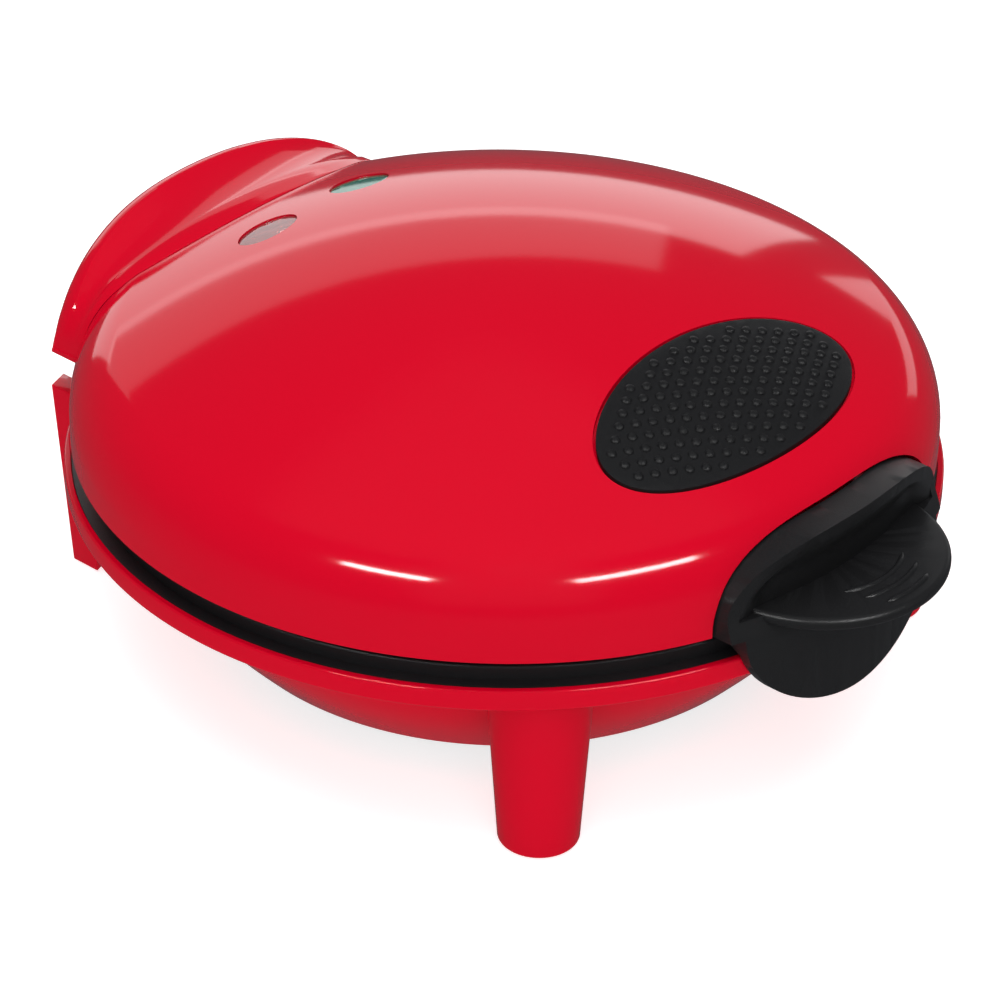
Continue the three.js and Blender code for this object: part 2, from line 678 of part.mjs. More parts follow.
// The stand: a curved shell, open towards the bowl, that leans in towards the counter.
function makeRearStand() {
  const top = LID_EDGE - STAND_EAR_DROP;
  const saddle = LID_EDGE - STAND_SADDLE_DROP;
  const middle = WING_HALF_WIDTH - STAND_EAR_LENGTH;
  const lean = new THREE.Matrix4().makeShear(0, 0, 0, 0, 0, STAND_LEAN / top);
  lean.setPosition(0, -STAND_LEAN, 0);
  const shell = standPlan(0, STAND_DEPTH, PAD_PROUD, top).transform(lean.elements);
  const cavity = standPlan(STAND_WALL, 30, PAD_PROUD + 4, rimBottom - 5).transform(lean.elements);
  const ribs = [-STAND_RIB_X, STAND_RIB_X].map((x) => (
    box(x - 1.5, x + 1.5, bowlBottomRadius - 20, wingBackAt(x) - STAND_LEAN, rimBottom - 26, rimBottom - 3)
  ));
  const saddleCut = box(-middle, middle, 60, 200, saddle, top + 10);
  const inlet = frontward(INLET_RADIUS + GAP, 0, INLET_HEIGHT, 60, 200);
  const feet = [-1, 1].map((side) => (
    upright(REAR_PAD_RADIUS + GAP, side * rearPadX, standPadY(), 0, PAD_THICKNESS + GAP)
  ));
  const room = join(bowlSolid(GAP), upright(baseRadius + GAP, 0, 0, rimBottom - 2, 100, BODY_STEPS));
  return cut(join(cut(shell, cavity), ...ribs), saddleCut, room, inlet, ...feet);
}

function standPadY() {
  return wingBackAt(rearPadX) + 0.9 - STAND_LEAN - STAND_DEPTH / 2;
}

// ---------------------------------------------------------------- the base

function bowlRadius(z) {
  const share = (z - BOWL_BOTTOM) / (rimBottom - BOWL_BOTTOM);
  const bulge = BOWL_BULGE * Math.sin(Math.PI * share);
  return bowlBottomRadius + (bowlTopRadius - bowlBottomRadius) * share + bulge;
}

function bowlWall(offset, from, to, steps) {
  const points = [];
  for (let i = 0; i <= steps; i += 1) {
    const z = from + (to - from) * i / steps;
    points.push([bowlRadius(z) + offset, z]);
  }
  return points;
}

function bowlSolid(offset) {
  const wall = bowlWall(offset, BOWL_BOTTOM, rimBottom, 5);
  return lathe([[0, BOWL_BOTTOM - offset], [wall[0][0], BOWL_BOTTOM - offset], ...wall,
    [wall[5][0], rimBottom + 1], [0, rimBottom + 1]]);
}

function makeBaseHousing() {
  const coverTop = BOWL_BOTTOM + COVER_THICKNESS + GAP;
  const opening = bowlBottomRadius - BASE_WALL;
  const profile = [
    [baseRadius - LIP_WALL, baseLip],
    [baseRadius - 0.4, baseLip],
    [baseRadius, baseLip - 0.4],
    [baseRadius, rimBottom + 1],
    [baseRadius - 1, rimBottom],
    ...bowlWall(0, rimBottom, BOWL_BOTTOM, 5),
    [opening, BOWL_BOTTOM],
    [opening, coverTop],
    [opening - COVER_LIP, coverTop],
    [opening - COVER_LIP, coverTop + 2],
    ...bowlWall(-BASE_WALL, coverTop + 2, ledge, 5),
    [baseRadius - LIP_WALL, ledge],
  ];
  const inside = lathe([[0, coverTop], ...bowlWall(-BASE_WALL / 2, coverTop, lowerPlateTop, 5),
    [0, lowerPlateTop]]);
  const bosses = plateScrewPlaces().map(([x, y]) => (
    upright(5, x, y, rimBottom - 22, lowerPlateTop - PLATE_WEB - GAP, 12)
  ));
  const bores = plateScrewPlaces().map(([x, y]) => (
    upright(SCREW_RADIUS + GAP, x, y, rimBottom - 18, lowerPlateTop, 12)
  ));
  const coverBores = coverScrewPlaces().map(([x, y]) => (
    upright(SCREW_RADIUS * 0.75 + GAP, x, y, BOWL_BOTTOM, coverTop + 3, 12)
  ));
  const inlet = frontward(INLET_RADIUS + GAP, 0, INLET_HEIGHT, 60, 200);
  return cut(lathe(profile).add(join(...bosses).intersect(inside)), ...bores, ...coverBores, inlet);
}

function coverScrewPlaces() {
  return around(3, bowlBottomRadius - BASE_WALL - COVER_LIP / 2, 30);
}

function makeBottomCover() {
  const radius = bowlBottomRadius - BASE_WALL - GAP;
  const disc = upright(radius, 0, 0, BOWL_BOTTOM, BOWL_BOTTOM + COVER_THICKNESS, BODY_STEPS);
  const bores = coverScrewPlaces().map(([x, y]) => (
    upright(SCREW_RADIUS * 0.75 + GAP, x, y, BOWL_BOTTOM - 1, BOWL_BOTTOM + COVER_THICKNESS + 1, 12)
  ));
  const vents = [];
  for (let i = -3; i <= 3; i += 1) {
    const half = 34 - 3 * Math.abs(i);
    vents.push(box(-half, half, i * 10 - 1.6, i * 10 + 1.6, 0, 30));
  }
  return cut(disc, ...bores, ...vents);
}

function makeCoverScrew([x, y]) {
  const shank = upright(SCREW_RADIUS * 0.75, x, y, BOWL_BOTTOM - GAP - 1, BOWL_BOTTOM + COVER_THICKNESS + 2, 12);
  const head = upright(SCREW_HEAD * 0.62, x, y, BOWL_BOTTOM - GAP - 1.6, BOWL_BOTTOM - GAP, SMALL_STEPS);
  return shank.add(head);
}

function legAxis(height) {
  const share = height / rimBottom;
  return BODY_RADIUS - LEG_FOOT_SETBACK + (LEG_FOOT_SETBACK - LEG_TOP_SETBACK) * share;
}

function legPlace(side, height) {
  const angle = THREE.MathUtils.degToRad(LEG_ANGLE);
  const radius = legAxis(height);
  return [side * radius * Math.sin(angle), -radius * Math.cos(angle)];
}

// One leg: a tapering round shell, open at the top, that leans with its axis.
function makeLeg(side) {
  const foot = PAD_PROUD;
  const top = rimBottom - GAP;
  const outer = [[0, foot], [LEG_FOOT_RADIUS - LEG_ROUND, foot],
    ...arc(LEG_FOOT_RADIUS - LEG_ROUND, foot + LEG_ROUND, LEG_ROUND, -50, 0, 2), [LEG_TOP_RADIUS, top], [0, top]];
  const inner = [[0, foot + 4], [LEG_FOOT_RADIUS - LEG_WALL, foot + 4],
    [LEG_TOP_RADIUS - LEG_WALL, top + 1], [0, top + 1]];
  const leanShare = (LEG_FOOT_SETBACK - LEG_TOP_SETBACK) / rimBottom;
  const angle = THREE.MathUtils.degToRad(LEG_ANGLE);
  const [dx, dy] = [side * Math.sin(angle) * leanShare, -Math.cos(angle) * leanShare];
  const [x, y] = legPlace(side, 0);
  const lean = new THREE.Matrix4().set(1, 0, dx, x, 0, 1, dy, y, 0, 0, 1, 0, 0, 0, 0, 1);
  const shell = cut(lathe(outer, 32), lathe(inner, 32)).transform(lean.elements);
  const [padX, padY] = legPlace(side, foot);
  const seat = upright(PAD_RADIUS + GAP, padX, padY, 0, foot + PAD_THICKNESS - PAD_PROUD + GAP, 24);
  return cut(shell, bowlSolid(GAP), seat);
}

function makeFootPad(side) {
  const [x, y] = legPlace(side, PAD_PROUD);
  return upright(PAD_RADIUS, x, y, 0, PAD_THICKNESS, 24);
}

function makeRearPad(side) {
  return upright(REAR_PAD_RADIUS, side * rearPadX, standPadY(), 0, PAD_THICKNESS);
}

// ---------------------------------------------------------------- the baking plates

function wellPlaces() {
  return [[0, 0], ...around(OUTER_WELLS, wellPitch, 90)];
}

// One ring-shaped well below the given height: a round trough between its wall and its post.
function wellTool(height, x, y) {
  const middle = (wellRadius + POST_RADIUS) / 2;
  const half = (wellRadius - POST_RADIUS) / 2;
  const trough = [];
  for (let i = 0; i <= 5; i += 1) {
    const angle = Math.PI * i / 5;
    trough.push([middle + half * Math.cos(angle), height - WELL_DEPTH * Math.sin(angle)]);
  }
  const profile = [...trough, [middle - half, height + 1], [middle + half, height + 1]];
  return lathe(profile, WELL_STEPS).translate([x, y, 0]);
}

// A plate with its baking face up, at height 0; the upper plate is made by turning one over.
function makePlate(flangeRadius) {
  const face = -GAP / 2;
  const bottom = face - WELL_DEPTH - WELL_WALL;
  const flangeTop = baseLip - 0.4 - plateSplit;
  const disc = lathe([[0, face - PLATE_WEB], [plateRadius - 3, face - PLATE_WEB],
    [plateRadius - 3, flangeTop - PLATE_FLANGE], [flangeRadius, flangeTop - PLATE_FLANGE],
    [flangeRadius, flangeTop], [plateRadius, flangeTop], [plateRadius, face - 0.8],
    [plateRadius - 0.8, face], [0, face]]);
  const cups = wellPlaces().map(([x, y]) => (
    solid(new THREE.CylinderGeometry(wellRadius + 1.6, wellRadius - 5, -bottom - 2, WELL_STEPS)
      .rotateX(Math.PI / 2).translate(x, y, (bottom - 2) / 2))
  ));
  const wells = wellPlaces().map(([x, y]) => wellTool(face, x, y));
  const bores = plateScrewPlaces().flatMap(([x, y]) => [
    upright(SCREW_RADIUS + GAP, x, y, face - 20, face + 1, 12),
    upright(SCREW_HEAD + GAP, x, y, face - 1.6, face + 1, SMALL_STEPS),
  ]);
  return cut(disc.add(join(...cups)), ...wells, ...bores);
}

function makeUpperPlate() {
  const plate = makePlate(BODY_RADIUS - LID_WALL - GAP).rotate([180, 0, 0]).translate([0, 0, plateSplit]);
  return cut(plate, notch(LATCH_GAP + LID_WALL + GAP, notchFloor - LID_WALL - GAP).translate([0, 0, -GAP]));
}

function makePlateScrew([x, y], up) {
  const face = -GAP / 2;
  const head = upright(SCREW_HEAD, 0, 0, face - 1.3, face - 0.1, SMALL_STEPS);
  const screw = head.add(upright(SCREW_RADIUS, 0, 0, face - 22, face - 1, 12));
  const turned = up ? screw.rotate([180, 0, 0]) : screw;
  return turned.translate([x, y, plateSplit]);
}

// A tubular element bent into an open ring.
function makeHeater(height) {
  const from = THREE.MathUtils.degToRad(90 + HEATER_OPENING / 2);
  const sweep = THREE.MathUtils.degToRad(360 - HEATER_OPENING);
  class Loop extends THREE.Curve {
    getPoint(t, target = new THREE.Vector3()) {
      const angle = from + sweep * t;
      return target.set(HEATER_RADIUS * Math.cos(angle), HEATER_RADIUS * Math.sin(angle), height);
    }
  }
  const tube = new THREE.Shape(ellipse(0, 0, HEATER_TUBE, HEATER_TUBE, 7)
    .map(([x, y]) => new THREE.Vector2(x, y)));
  return solid(new THREE.ExtrudeGeometry(tube, { steps: 32, extrudePath: new Loop() }));
}

function makeReflector(floor, way) {
  const sheet = REFLECTOR_SHEET * way;
  const rim = REFLECTOR_RIM * way;
  const pan = lathe([[0, floor], [reflectorRadius, floor], [reflectorRadius + 2, floor + rim],
    [reflectorRadius + 2 - REFLECTOR_SHEET, floor + rim], [reflectorRadius - REFLECTOR_SHEET, floor + sheet],
    [0, floor + sheet]], 48);
  return cut(pan, upright(3, 0, 0, floor - 5, floor + 5, 12));
}

const plateDepth = WELL_DEPTH + WELL_WALL + GAP / 2;
const lowerHeaterZ = plateSplit - plateDepth - HEATER_TUBE - GAP;
const upperHeaterZ = plateSplit + plateDepth + HEATER_TUBE + GAP;
const lowerReflectorZ = lowerHeaterZ - HEATER_TUBE - 3;
const upperReflectorZ = upperHeaterZ + HEATER_TUBE + 3;

// ---------------------------------------------------------------- electrical pieces in the base

function makeThermostat() {
  const z = lowerReflectorZ - GAP;
  const [x, y] = THERMOSTAT_PLACE;
  const can = upright(9, x, y, z - 8, z, 24);
  const tabs = [x - 12, x + 12].map((tabX) => box(tabX - 4, tabX + 4, y - 1.5, y + 1.5, z - 7, z - 6.2));
  return join(can, ...tabs);
}

function makeThermalFuse() {
  const z = lowerReflectorZ - GAP - 2.4;
  const [x, y] = FUSE_PLACE;
  const body = crosswise(2.2, x - 6, x + 6, y, z, 12);
  return body.add(crosswise(0.6, x - 12, x + 12, y, z, 8));
}

function makeTerminalBlock() {
  const floor = BOWL_BOTTOM + COVER_THICKNESS + GAP;
  const block = box(-14, 14, TERMINAL_Y - 6, TERMINAL_Y + 6, floor, floor + 10);
  const wells = [-9, 0, 9].map((x) => upright(2, x, TERMINAL_Y, floor + 5, floor + 12, 12));
  return cut(block, ...wells);
}

// The bushing passes through the stand and the bowl, below the hinge.
function makeCordBushing() {
  const flangeRadius = INLET_RADIUS + 1.8;
  const lean = STAND_LEAN * (1 - (INLET_HEIGHT + flangeRadius) / (LID_EDGE - STAND_EAR_DROP));
  const face = wingBackAt(0) + 0.9 - lean + GAP;
  const tube = frontward(INLET_RADIUS, 0, INLET_HEIGHT, bowlRadius(INLET_HEIGHT) - 8, face + 1, 24);
  const flange = frontward(flangeRadius, 0, INLET_HEIGHT, face, face + 2.2, 24);
  return cut(tube.add(flange), frontward(3.2, 0, INLET_HEIGHT, 0, 200));
}

// ---------------------------------------------------------------- the hinge

// Knuckles on each side; the base's pair stands outside the lid's pair.
function hingeKnuckle(x) {
  const half = KNUCKLE_LENGTH / 2;
  return crosswise(KNUCKLE_RADIUS, x - half, x + half, hingeY, hingeZ);
}

function makeBaseBracket() {
  const offset = KNUCKLE_LENGTH / 2 + GAP / 2;
  const floor = LID_EDGE - STAND_SADDLE_DROP + GAP;
  const half = KNUCKLE_LENGTH / 2;
  const reach = HINGE_SPREAD + offset + half;
  const posts = [-1, 1].map((side) => {
    const x = side * (HINGE_SPREAD + offset);
    const post = box(x - half, x + half, hingeY - KNUCKLE_RADIUS - 1, hingeY + 2, floor, hingeZ);
    return join(hingeKnuckle(x), post);
  });
  const foot = standPlan(0.6, STAND_DEPTH, floor, floor + 2.5)
    .intersect(box(-reach, reach, 60, 200, floor - 1, floor + 5));
  const rim = upright(baseRadius + GAP, 0, 0, 0, baseLip + GAP, BODY_STEPS);
  const bore = crosswise(HINGE_PIN_RADIUS + GAP, -80, 80, hingeY, hingeZ);
  return cut(join(...posts, foot), bore, rim);
}

// The lid's bracket lies between its band and the knuckles, under the edge of the hinge cover.
function makeLidBracket() {
  const offset = KNUCKLE_LENGTH / 2 + GAP / 2;
  const reach = HINGE_SPREAD - GAP / 2;
  const knuckles = [-1, 1].map((side) => hingeKnuckle(side * (HINGE_SPREAD - offset)));
  const bar = box(-reach, reach, BODY_RADIUS - 8, hingeY - 1.5, hingeZ + 0.6, LID_EDGE + wingEdge - GAP - 0.1);
  const bore = crosswise(HINGE_PIN_RADIUS + GAP, -80, 80, hingeY, hingeZ);
  const band = upright(BODY_RADIUS + GAP, 0, 0, 0, 100, BODY_STEPS);
  return cut(join(...knuckles, bar), bore, band);
}

function makeHingePin(side) {
  const reach = KNUCKLE_LENGTH + 1;
  return crosswise(HINGE_PIN_RADIUS, side * HINGE_SPREAD - reach, side * HINGE_SPREAD + reach, hingeY, hingeZ);
}

// ---------------------------------------------------------------- assembly

const sides = [['left', -1], ['right', 1]];

add('base_housing', makeBaseHousing(), redPlastic);
add('bottom_cover', makeBottomCover(), darkPlastic);
coverScrewPlaces().forEach((place, i) => add(`cover_screw_${i + 1}`, makeCoverScrew(place), steel));
for (const [name, side] of sides) {
  add(`front_leg_${name}`, makeLeg(side), redPlastic);
  add(`front_foot_pad_${name}`, makeFootPad(side), blackRubber);
  add(`rear_foot_pad_${name}`, makeRearPad(side), blackRubber);
  add(`hinge_pin_${name}`, makeHingePin(side), brightSteel);
}
add('rear_stand', makeRearStand(), redPlastic);
add('cord_bushing', makeCordBushing(), blackRubber);
add('base_hinge_bracket', makeBaseBracket(), darkPlastic);
add('lower_plate', makePlate(baseRadius - LIP_WALL - GAP).translate([0, 0, plateSplit]), nonStick);
add('lower_heater', makeHeater(lowerHeaterZ), steel);
add('lower_reflector', makeReflector(lowerReflectorZ, 1), aluminium);
add('thermostat', makeThermostat(), steel);
add('thermal_fuse', makeThermalFuse(), ceramic);
add('terminal_block', makeTerminalBlock(), ceramic);

add('lid_shell', makeLidShell(), redPlastic);
add('hinge_cover', makeHingeCover(), redPlastic);
add('lid_hinge_bracket', makeLidBracket(), darkPlastic);
add('grip_pad', makeGripPad(), blackRubber);
add('upper_plate', makeUpperPlate(), nonStick);
add('upper_heater', makeHeater(upperHeaterZ), steel);
add('upper_reflector', makeReflector(upperReflectorZ, -1), aluminium);
add('power_lamp_lens', makeLens(lampPlaces()[0]), redLens);
add('ready_lamp_lens', makeLens(lampPlaces()[1]), greenLens);
add('power_lamp', makeNeon(lampPlaces()[0]), clearGlass);
add('ready_lamp', makeNeon(lampPlaces()[1]), clearGlass);
add('lamp_holder', makeLampHolder(), darkPlastic);
plateScrewPlaces().forEach((place, i) => {
  add(`lower_plate_screw_${i + 1}`, makePlateScrew(place, false), steel);
  add(`upper_plate_screw_${i + 1}`, makePlateScrew(place, true), steel);
});
add('latch_pin', makeLatchPin(), brightSteel);
add('latch_spring', makeLatchSpring(), steel);
add('latch', makeLatch(), blackPlastic);

donutMaker.position.y = (shelfFront - hingeY - KNUCKLE_RADIUS) / 2;

export default donutMaker;
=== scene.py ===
"""A red round donut maker: the smooth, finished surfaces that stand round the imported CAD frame."""

import json
import math

import bmesh
import bpy
from mathutils import Matrix, Vector


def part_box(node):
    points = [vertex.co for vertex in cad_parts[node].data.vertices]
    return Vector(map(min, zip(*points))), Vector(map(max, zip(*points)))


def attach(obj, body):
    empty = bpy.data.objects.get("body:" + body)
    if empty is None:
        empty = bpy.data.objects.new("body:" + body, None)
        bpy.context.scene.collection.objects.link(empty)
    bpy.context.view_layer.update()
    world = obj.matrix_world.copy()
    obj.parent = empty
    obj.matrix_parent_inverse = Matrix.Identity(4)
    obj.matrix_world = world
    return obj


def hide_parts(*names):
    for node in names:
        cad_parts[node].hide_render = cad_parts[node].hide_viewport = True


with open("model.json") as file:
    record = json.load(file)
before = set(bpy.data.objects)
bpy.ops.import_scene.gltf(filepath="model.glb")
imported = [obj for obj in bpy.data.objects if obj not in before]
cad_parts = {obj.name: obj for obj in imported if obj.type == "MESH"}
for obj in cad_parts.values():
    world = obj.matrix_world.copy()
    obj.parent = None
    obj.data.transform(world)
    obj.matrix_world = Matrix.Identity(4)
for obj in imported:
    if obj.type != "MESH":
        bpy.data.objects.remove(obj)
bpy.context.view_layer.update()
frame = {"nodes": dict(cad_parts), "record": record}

MM = 0.001
BASE_LOW, BASE_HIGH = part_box("base_housing")
AXIS_Y = (BASE_LOW.y + BASE_HIGH.y) / 2      # the round body's vertical axis

# sizes below are in millimetres about that axis, with the counter at height 0
LID_RADIUS = 122.0
LID_EDGE = 64.0
LID_TOP = 117.0
LID_BAND = 6.8
SHOULDER = 24.4
LID_WALL = 2.6
BASE_RADIUS = 124.0
BASE_LIP = 56.5
RIM_BOTTOM = 50.0
LIP_WALL = 1.8
BOWL_BOTTOM = 11.0
BOWL_LOW_RADIUS = 84.0
BOWL_HIGH_RADIUS = 107.5
BOWL_BULGE = 4.0
STEPS = 192
TINY = 1e-6
SAME_WAY = 0.96              # how nearly a face has to point along a known surface's normal
ON_DOME = 0.03               # how near to the lid's outer surface a point has to lie


# ------------------------------------------------------------------ mesh tools

def build(name, points, faces):
    """A closed mesh from points in millimetres about the body's axis."""
    mesh = bpy.data.meshes.new(name)
    mesh.from_pydata([(x * MM, y * MM + AXIS_Y, z * MM) for x, y, z in points], [], faces)
    shape = bmesh.new()
    shape.from_mesh(mesh)
    bmesh.ops.recalc_face_normals(shape, faces=shape.faces)
    shape.to_mesh(mesh)
    shape.free()
    obj = bpy.data.objects.new(name, mesh)
    bpy.context.scene.collection.objects.link(obj)
    return obj


def spin(name, profile, steps=STEPS, centre=(0.0, 0.0)):
    """A profile of (radius, height) points turned about a vertical line."""
    points = []
    rows = []
    for radius, height in profile:
        first = len(points)
        if radius < TINY:
            points.append((centre[0], centre[1], height))
            rows.append([first] * steps)
            continue
        for k in range(steps):
            turn = 2 * math.pi * (k + 0.5) / steps
            points.append((centre[0] + radius * math.cos(turn), centre[1] + radius * math.sin(turn), height))
        rows.append(list(range(first, first + steps)))
    count = len(rows) if profile[0][0] > TINY else len(rows) - 1
    faces = []
    for i in range(count):
        here, there = rows[i], rows[(i + 1) % len(rows)]
        for k in range(steps):
            n = (k + 1) % steps
            face = list(dict.fromkeys((here[k], here[n], there[n], there[k])))
            if len(face) > 2:
                faces.append(face)
    return build(name, points, faces)


def prism(name, outline, start, end, front=False):
    """An outline carried along Z, or along Y where front is set and the outline is (x, z)."""
    count = len(outline)
    points = []
    for level in (start, end):
        points += [(u, level, v) if front else (u, v, level) for u, v in outline]
    faces = [list(range(count)), list(range(2 * count - 1, count - 1, -1))]
    faces += [(k, (k + 1) % count, count + (k + 1) % count, count + k) for k in range(count)]
    return build(name, points, faces)


def block(name, x0, x1, y0, y1, z0, z1):
    """An upright box between two corners."""
    return prism(name, [(x0, y0), (x1, y0), (x1, y1), (x0, y1)], z0, z1)


def rod(name, radius, x0, x1, y, z, steps=32):
    """A round rod along X."""
    turns = [2 * math.pi * k / steps for k in range(steps)]
    points = [(x, y + radius * math.cos(t), z + radius * math.sin(t)) for x in (x0, x1) for t in turns]
    faces = [list(range(steps)), list(range(2 * steps - 1, steps - 1, -1))]
    faces += [(k, (k + 1) % steps, steps + (k + 1) % steps, steps + k) for k in range(steps)]
    return build(name, points, faces)


def loft(name, sections):
    """Rings of points, one after another, skinned and closed at both ends."""
    count = len(sections[0])
    points = [point for ring in sections for point in ring]
    last = (len(sections) - 1) * count
    faces = [list(range(count)), list(range(last + count - 1, last - 1, -1))]
    for i in range(len(sections) - 1):
        for k in range(count):
            n = (k + 1) % count
            a, b = i * count, (i + 1) * count
            faces.append((a + k, a + n, b + n, b + k))
    return build(name, points, faces)


def settle(obj):
    """Makes the object's modifiers part of its mesh."""
    bpy.context.view_layer.update()
    seen = obj.evaluated_get(bpy.context.evaluated_depsgraph_get())
    mesh = bpy.data.meshes.new_from_object(seen)
    obj.modifiers.clear()
    obj.data = mesh
    return obj


def combine(obj, tools, how):
    """Applies each tool to the object in turn, and then removes the tools."""
    for tool in tools:
        modifier = obj.modifiers.new(how, "BOOLEAN")
        modifier.operation = how
        modifier.solver = "EXACT"
        modifier.object = tool
    settle(obj)
    for tool in tools:
        bpy.data.objects.remove(tool)
    return obj


def cut(obj, *tools):
    return combine(obj, tools, "DIFFERENCE")


def join(obj, *tools):
    return combine(obj, tools, "UNION")


def keep(obj, *tools):
    return combine(obj, tools, "INTERSECT")


def soften(obj, width, segments=2, angle=32.0):
    """Rounds the sharp edges and shades the rest smooth."""
    if width > 0:
        modifier = obj.modifiers.new("edge", "BEVEL")
        modifier.width = width * MM
        modifier.segments = segments
        modifier.limit_method = "ANGLE"
        modifier.angle_limit = math.radians(angle)
        modifier.use_clamp_overlap = True
        settle(obj)
    obj.data.polygons.foreach_set("use_smooth", [True] * len(obj.data.polygons))
    obj.data.set_sharp_from_angle(angle=math.radians(angle))
    return obj


def true_normals(obj, surface):
    """Gives faces that lie on a known smooth surface that surface's own normals."""
    mesh = obj.data
    normals = [Vector(corner.vector) for corner in mesh.corner_normals]
    for face in mesh.polygons:
        for loop in face.loop_indices:
            place = mesh.vertices[mesh.loops[loop].vertex_index].co
            found = surface(place.x / MM, (place.y - AXIS_Y) / MM, place.z / MM)
            if found and face.normal.dot(found) > SAME_WAY:
                normals[loop] = found
    mesh.normals_split_custom_set(normals)
    return obj


def arc(cx, cz, radius, start, end, steps):
    """Points round a centre, from one angle in degrees to another."""
    turns = [math.radians(start + (end - start) * i / steps) for i in range(steps + 1)]
    return [(cx + radius * math.cos(t), cz + radius * math.sin(t)) for t in turns]


def oval(cx, cy, half_x, half_y, steps=96):
    turns = [2 * math.pi * i / steps for i in range(steps)]
    return [(cx + half_x * math.cos(t), cy + half_y * math.sin(t)) for t in turns]


def finish_piece(obj, body, nodes, material):
    """Gives a piece its material and body, and hides the CAD nodes that it stands in for."""
    obj.data.materials.clear()
    obj.data.materials.append(material)
    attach(obj, body)
    if nodes:
        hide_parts(*nodes)
    return obj


# ------------------------------------------------------------------ materials

PLASTIC_IOR = 1.5
GLOSS_CLOUD_SCALE = 18.0
GRAIN_DISTANCE = 0.0002


def surface_material(name, color, roughness, spread=0.03, bump=0.0, scale=900.0, metallic=0.0, specular=0.5):
    """A moulded or metal surface: slight changes of gloss, and a fine bump of the given strength."""
    material = bpy.data.materials.new(name)
    material.use_nodes = True
    nodes = material.node_tree.nodes
    links = material.node_tree.links
    shader = nodes["Principled BSDF"]
    shader.inputs["Base Color"].default_value = (*color, 1.0)
    shader.inputs["Metallic"].default_value = metallic
    shader.inputs["Specular IOR Level"].default_value = specular
    shader.inputs["IOR"].default_value = PLASTIC_IOR
    place = nodes.new("ShaderNodeTexCoord")
    cloud = nodes.new("ShaderNodeTexNoise")
    cloud.inputs["Scale"].default_value = GLOSS_CLOUD_SCALE
    cloud.inputs["Detail"].default_value = 4.0
    links.new(place.outputs["Object"], cloud.inputs["Vector"])
    gloss = nodes.new("ShaderNodeMapRange")
    gloss.inputs["To Min"].default_value = max(roughness - spread, 0.0)
    gloss.inputs["To Max"].default_value = roughness + spread
    links.new(cloud.outputs["Fac"], gloss.inputs["Value"])
    links.new(gloss.outputs["Result"], shader.inputs["Roughness"])
    if bump > 0:
        grain = nodes.new("ShaderNodeTexNoise")
        grain.inputs["Scale"].default_value = scale
        grain.inputs["Detail"].default_value = 3.0
        links.new(place.outputs["Object"], grain.inputs["Vector"])
        raised = nodes.new("ShaderNodeBump")
        raised.inputs["Strength"].default_value = bump
        raised.inputs["Distance"].default_value = GRAIN_DISTANCE
        links.new(grain.outputs["Fac"], raised.inputs["Height"])
        links.new(raised.outputs["Normal"], shader.inputs["Normal"])
    return material


RED = surface_material("red_gloss_plastic", (0.55, 0.0, 0.014), 0.09, spread=0.02, bump=0.02, scale=300.0,
                       specular=0.45)
BLACK = surface_material("black_satin_plastic", (0.0085, 0.0085, 0.009), 0.36, spread=0.05, bump=0.25,
                         scale=2600.0)
MATTE = surface_material("black_matte_plastic", (0.014, 0.014, 0.014), 0.6, spread=0.05, bump=0.3,
                         scale=2200.0)
RUBBER = surface_material("black_rubber", (0.0055, 0.0055, 0.006), 0.50, spread=0.06, bump=0.4, scale=2600.0)
COATING = surface_material("non_stick_coating", (0.010, 0.010, 0.011), 0.34, spread=0.06, bump=0.35,
                           scale=3800.0)
STEEL = surface_material("plain_steel", (0.52, 0.52, 0.54), 0.3, spread=0.06, bump=0.2, metallic=1.0)
BRIGHT = surface_material("bright_steel", (0.68, 0.68, 0.7), 0.14, spread=0.03, metallic=1.0)
SHEET = surface_material("aluminium_sheet", (0.74, 0.75, 0.77), 0.34, spread=0.08, bump=0.3, scale=1400.0,
                         metallic=1.0)
IVORY = surface_material("ivory_insulator", (0.70, 0.67, 0.58), 0.5, spread=0.06, bump=0.2)


def lens_material(name, color):
    """Clear tinted plastic, partly see-through."""
    material = surface_material(name, color, 0.07, spread=0.02, specular=0.6)
    shader = material.node_tree.nodes["Principled BSDF"]
    shader.inputs["Transmission Weight"].default_value = 0.75
    return material


POWER_LENS = lens_material("power_lens", (0.62, 0.2, 0.2))
READY_LENS = lens_material("ready_lens", (0.05, 0.42, 0.30))
LAMP = lens_material("lamp_glass", (0.85, 0.6, 0.45))

NODE_MATERIALS = {
    "red_shell": RED, "latch_plastic": BLACK, "dark_plastic": MATTE, "soft_rubber": RUBBER,
    "non_stick": COATING, "steel": STEEL, "bright_pin": BRIGHT, "reflector_sheet": SHEET,
    "insulator": IVORY, "power_lens": POWER_LENS, "ready_lens": READY_LENS, "lamp_glass": LAMP,
}
for row in frame["record"]["subparts"]:
    node = frame["nodes"][row["node"]]
    node.data.materials.clear()
    node.data.materials.append(NODE_MATERIALS[row["material_slot"]])


# ------------------------------------------------------------------ the dome's shape

INSET = LID_RADIUS - SHOULDER
CROWN = LID_TOP - LID_EDGE - LID_BAND
DOME = (INSET ** 2 + CROWN ** 2 - SHOULDER ** 2) / (2 * (CROWN - SHOULDER))
DOME_CENTRE = LID_TOP - DOME
SHOULDER_Z = LID_EDGE + LID_BAND
MEET = math.degrees(math.atan2(SHOULDER_Z - DOME_CENTRE, INSET))


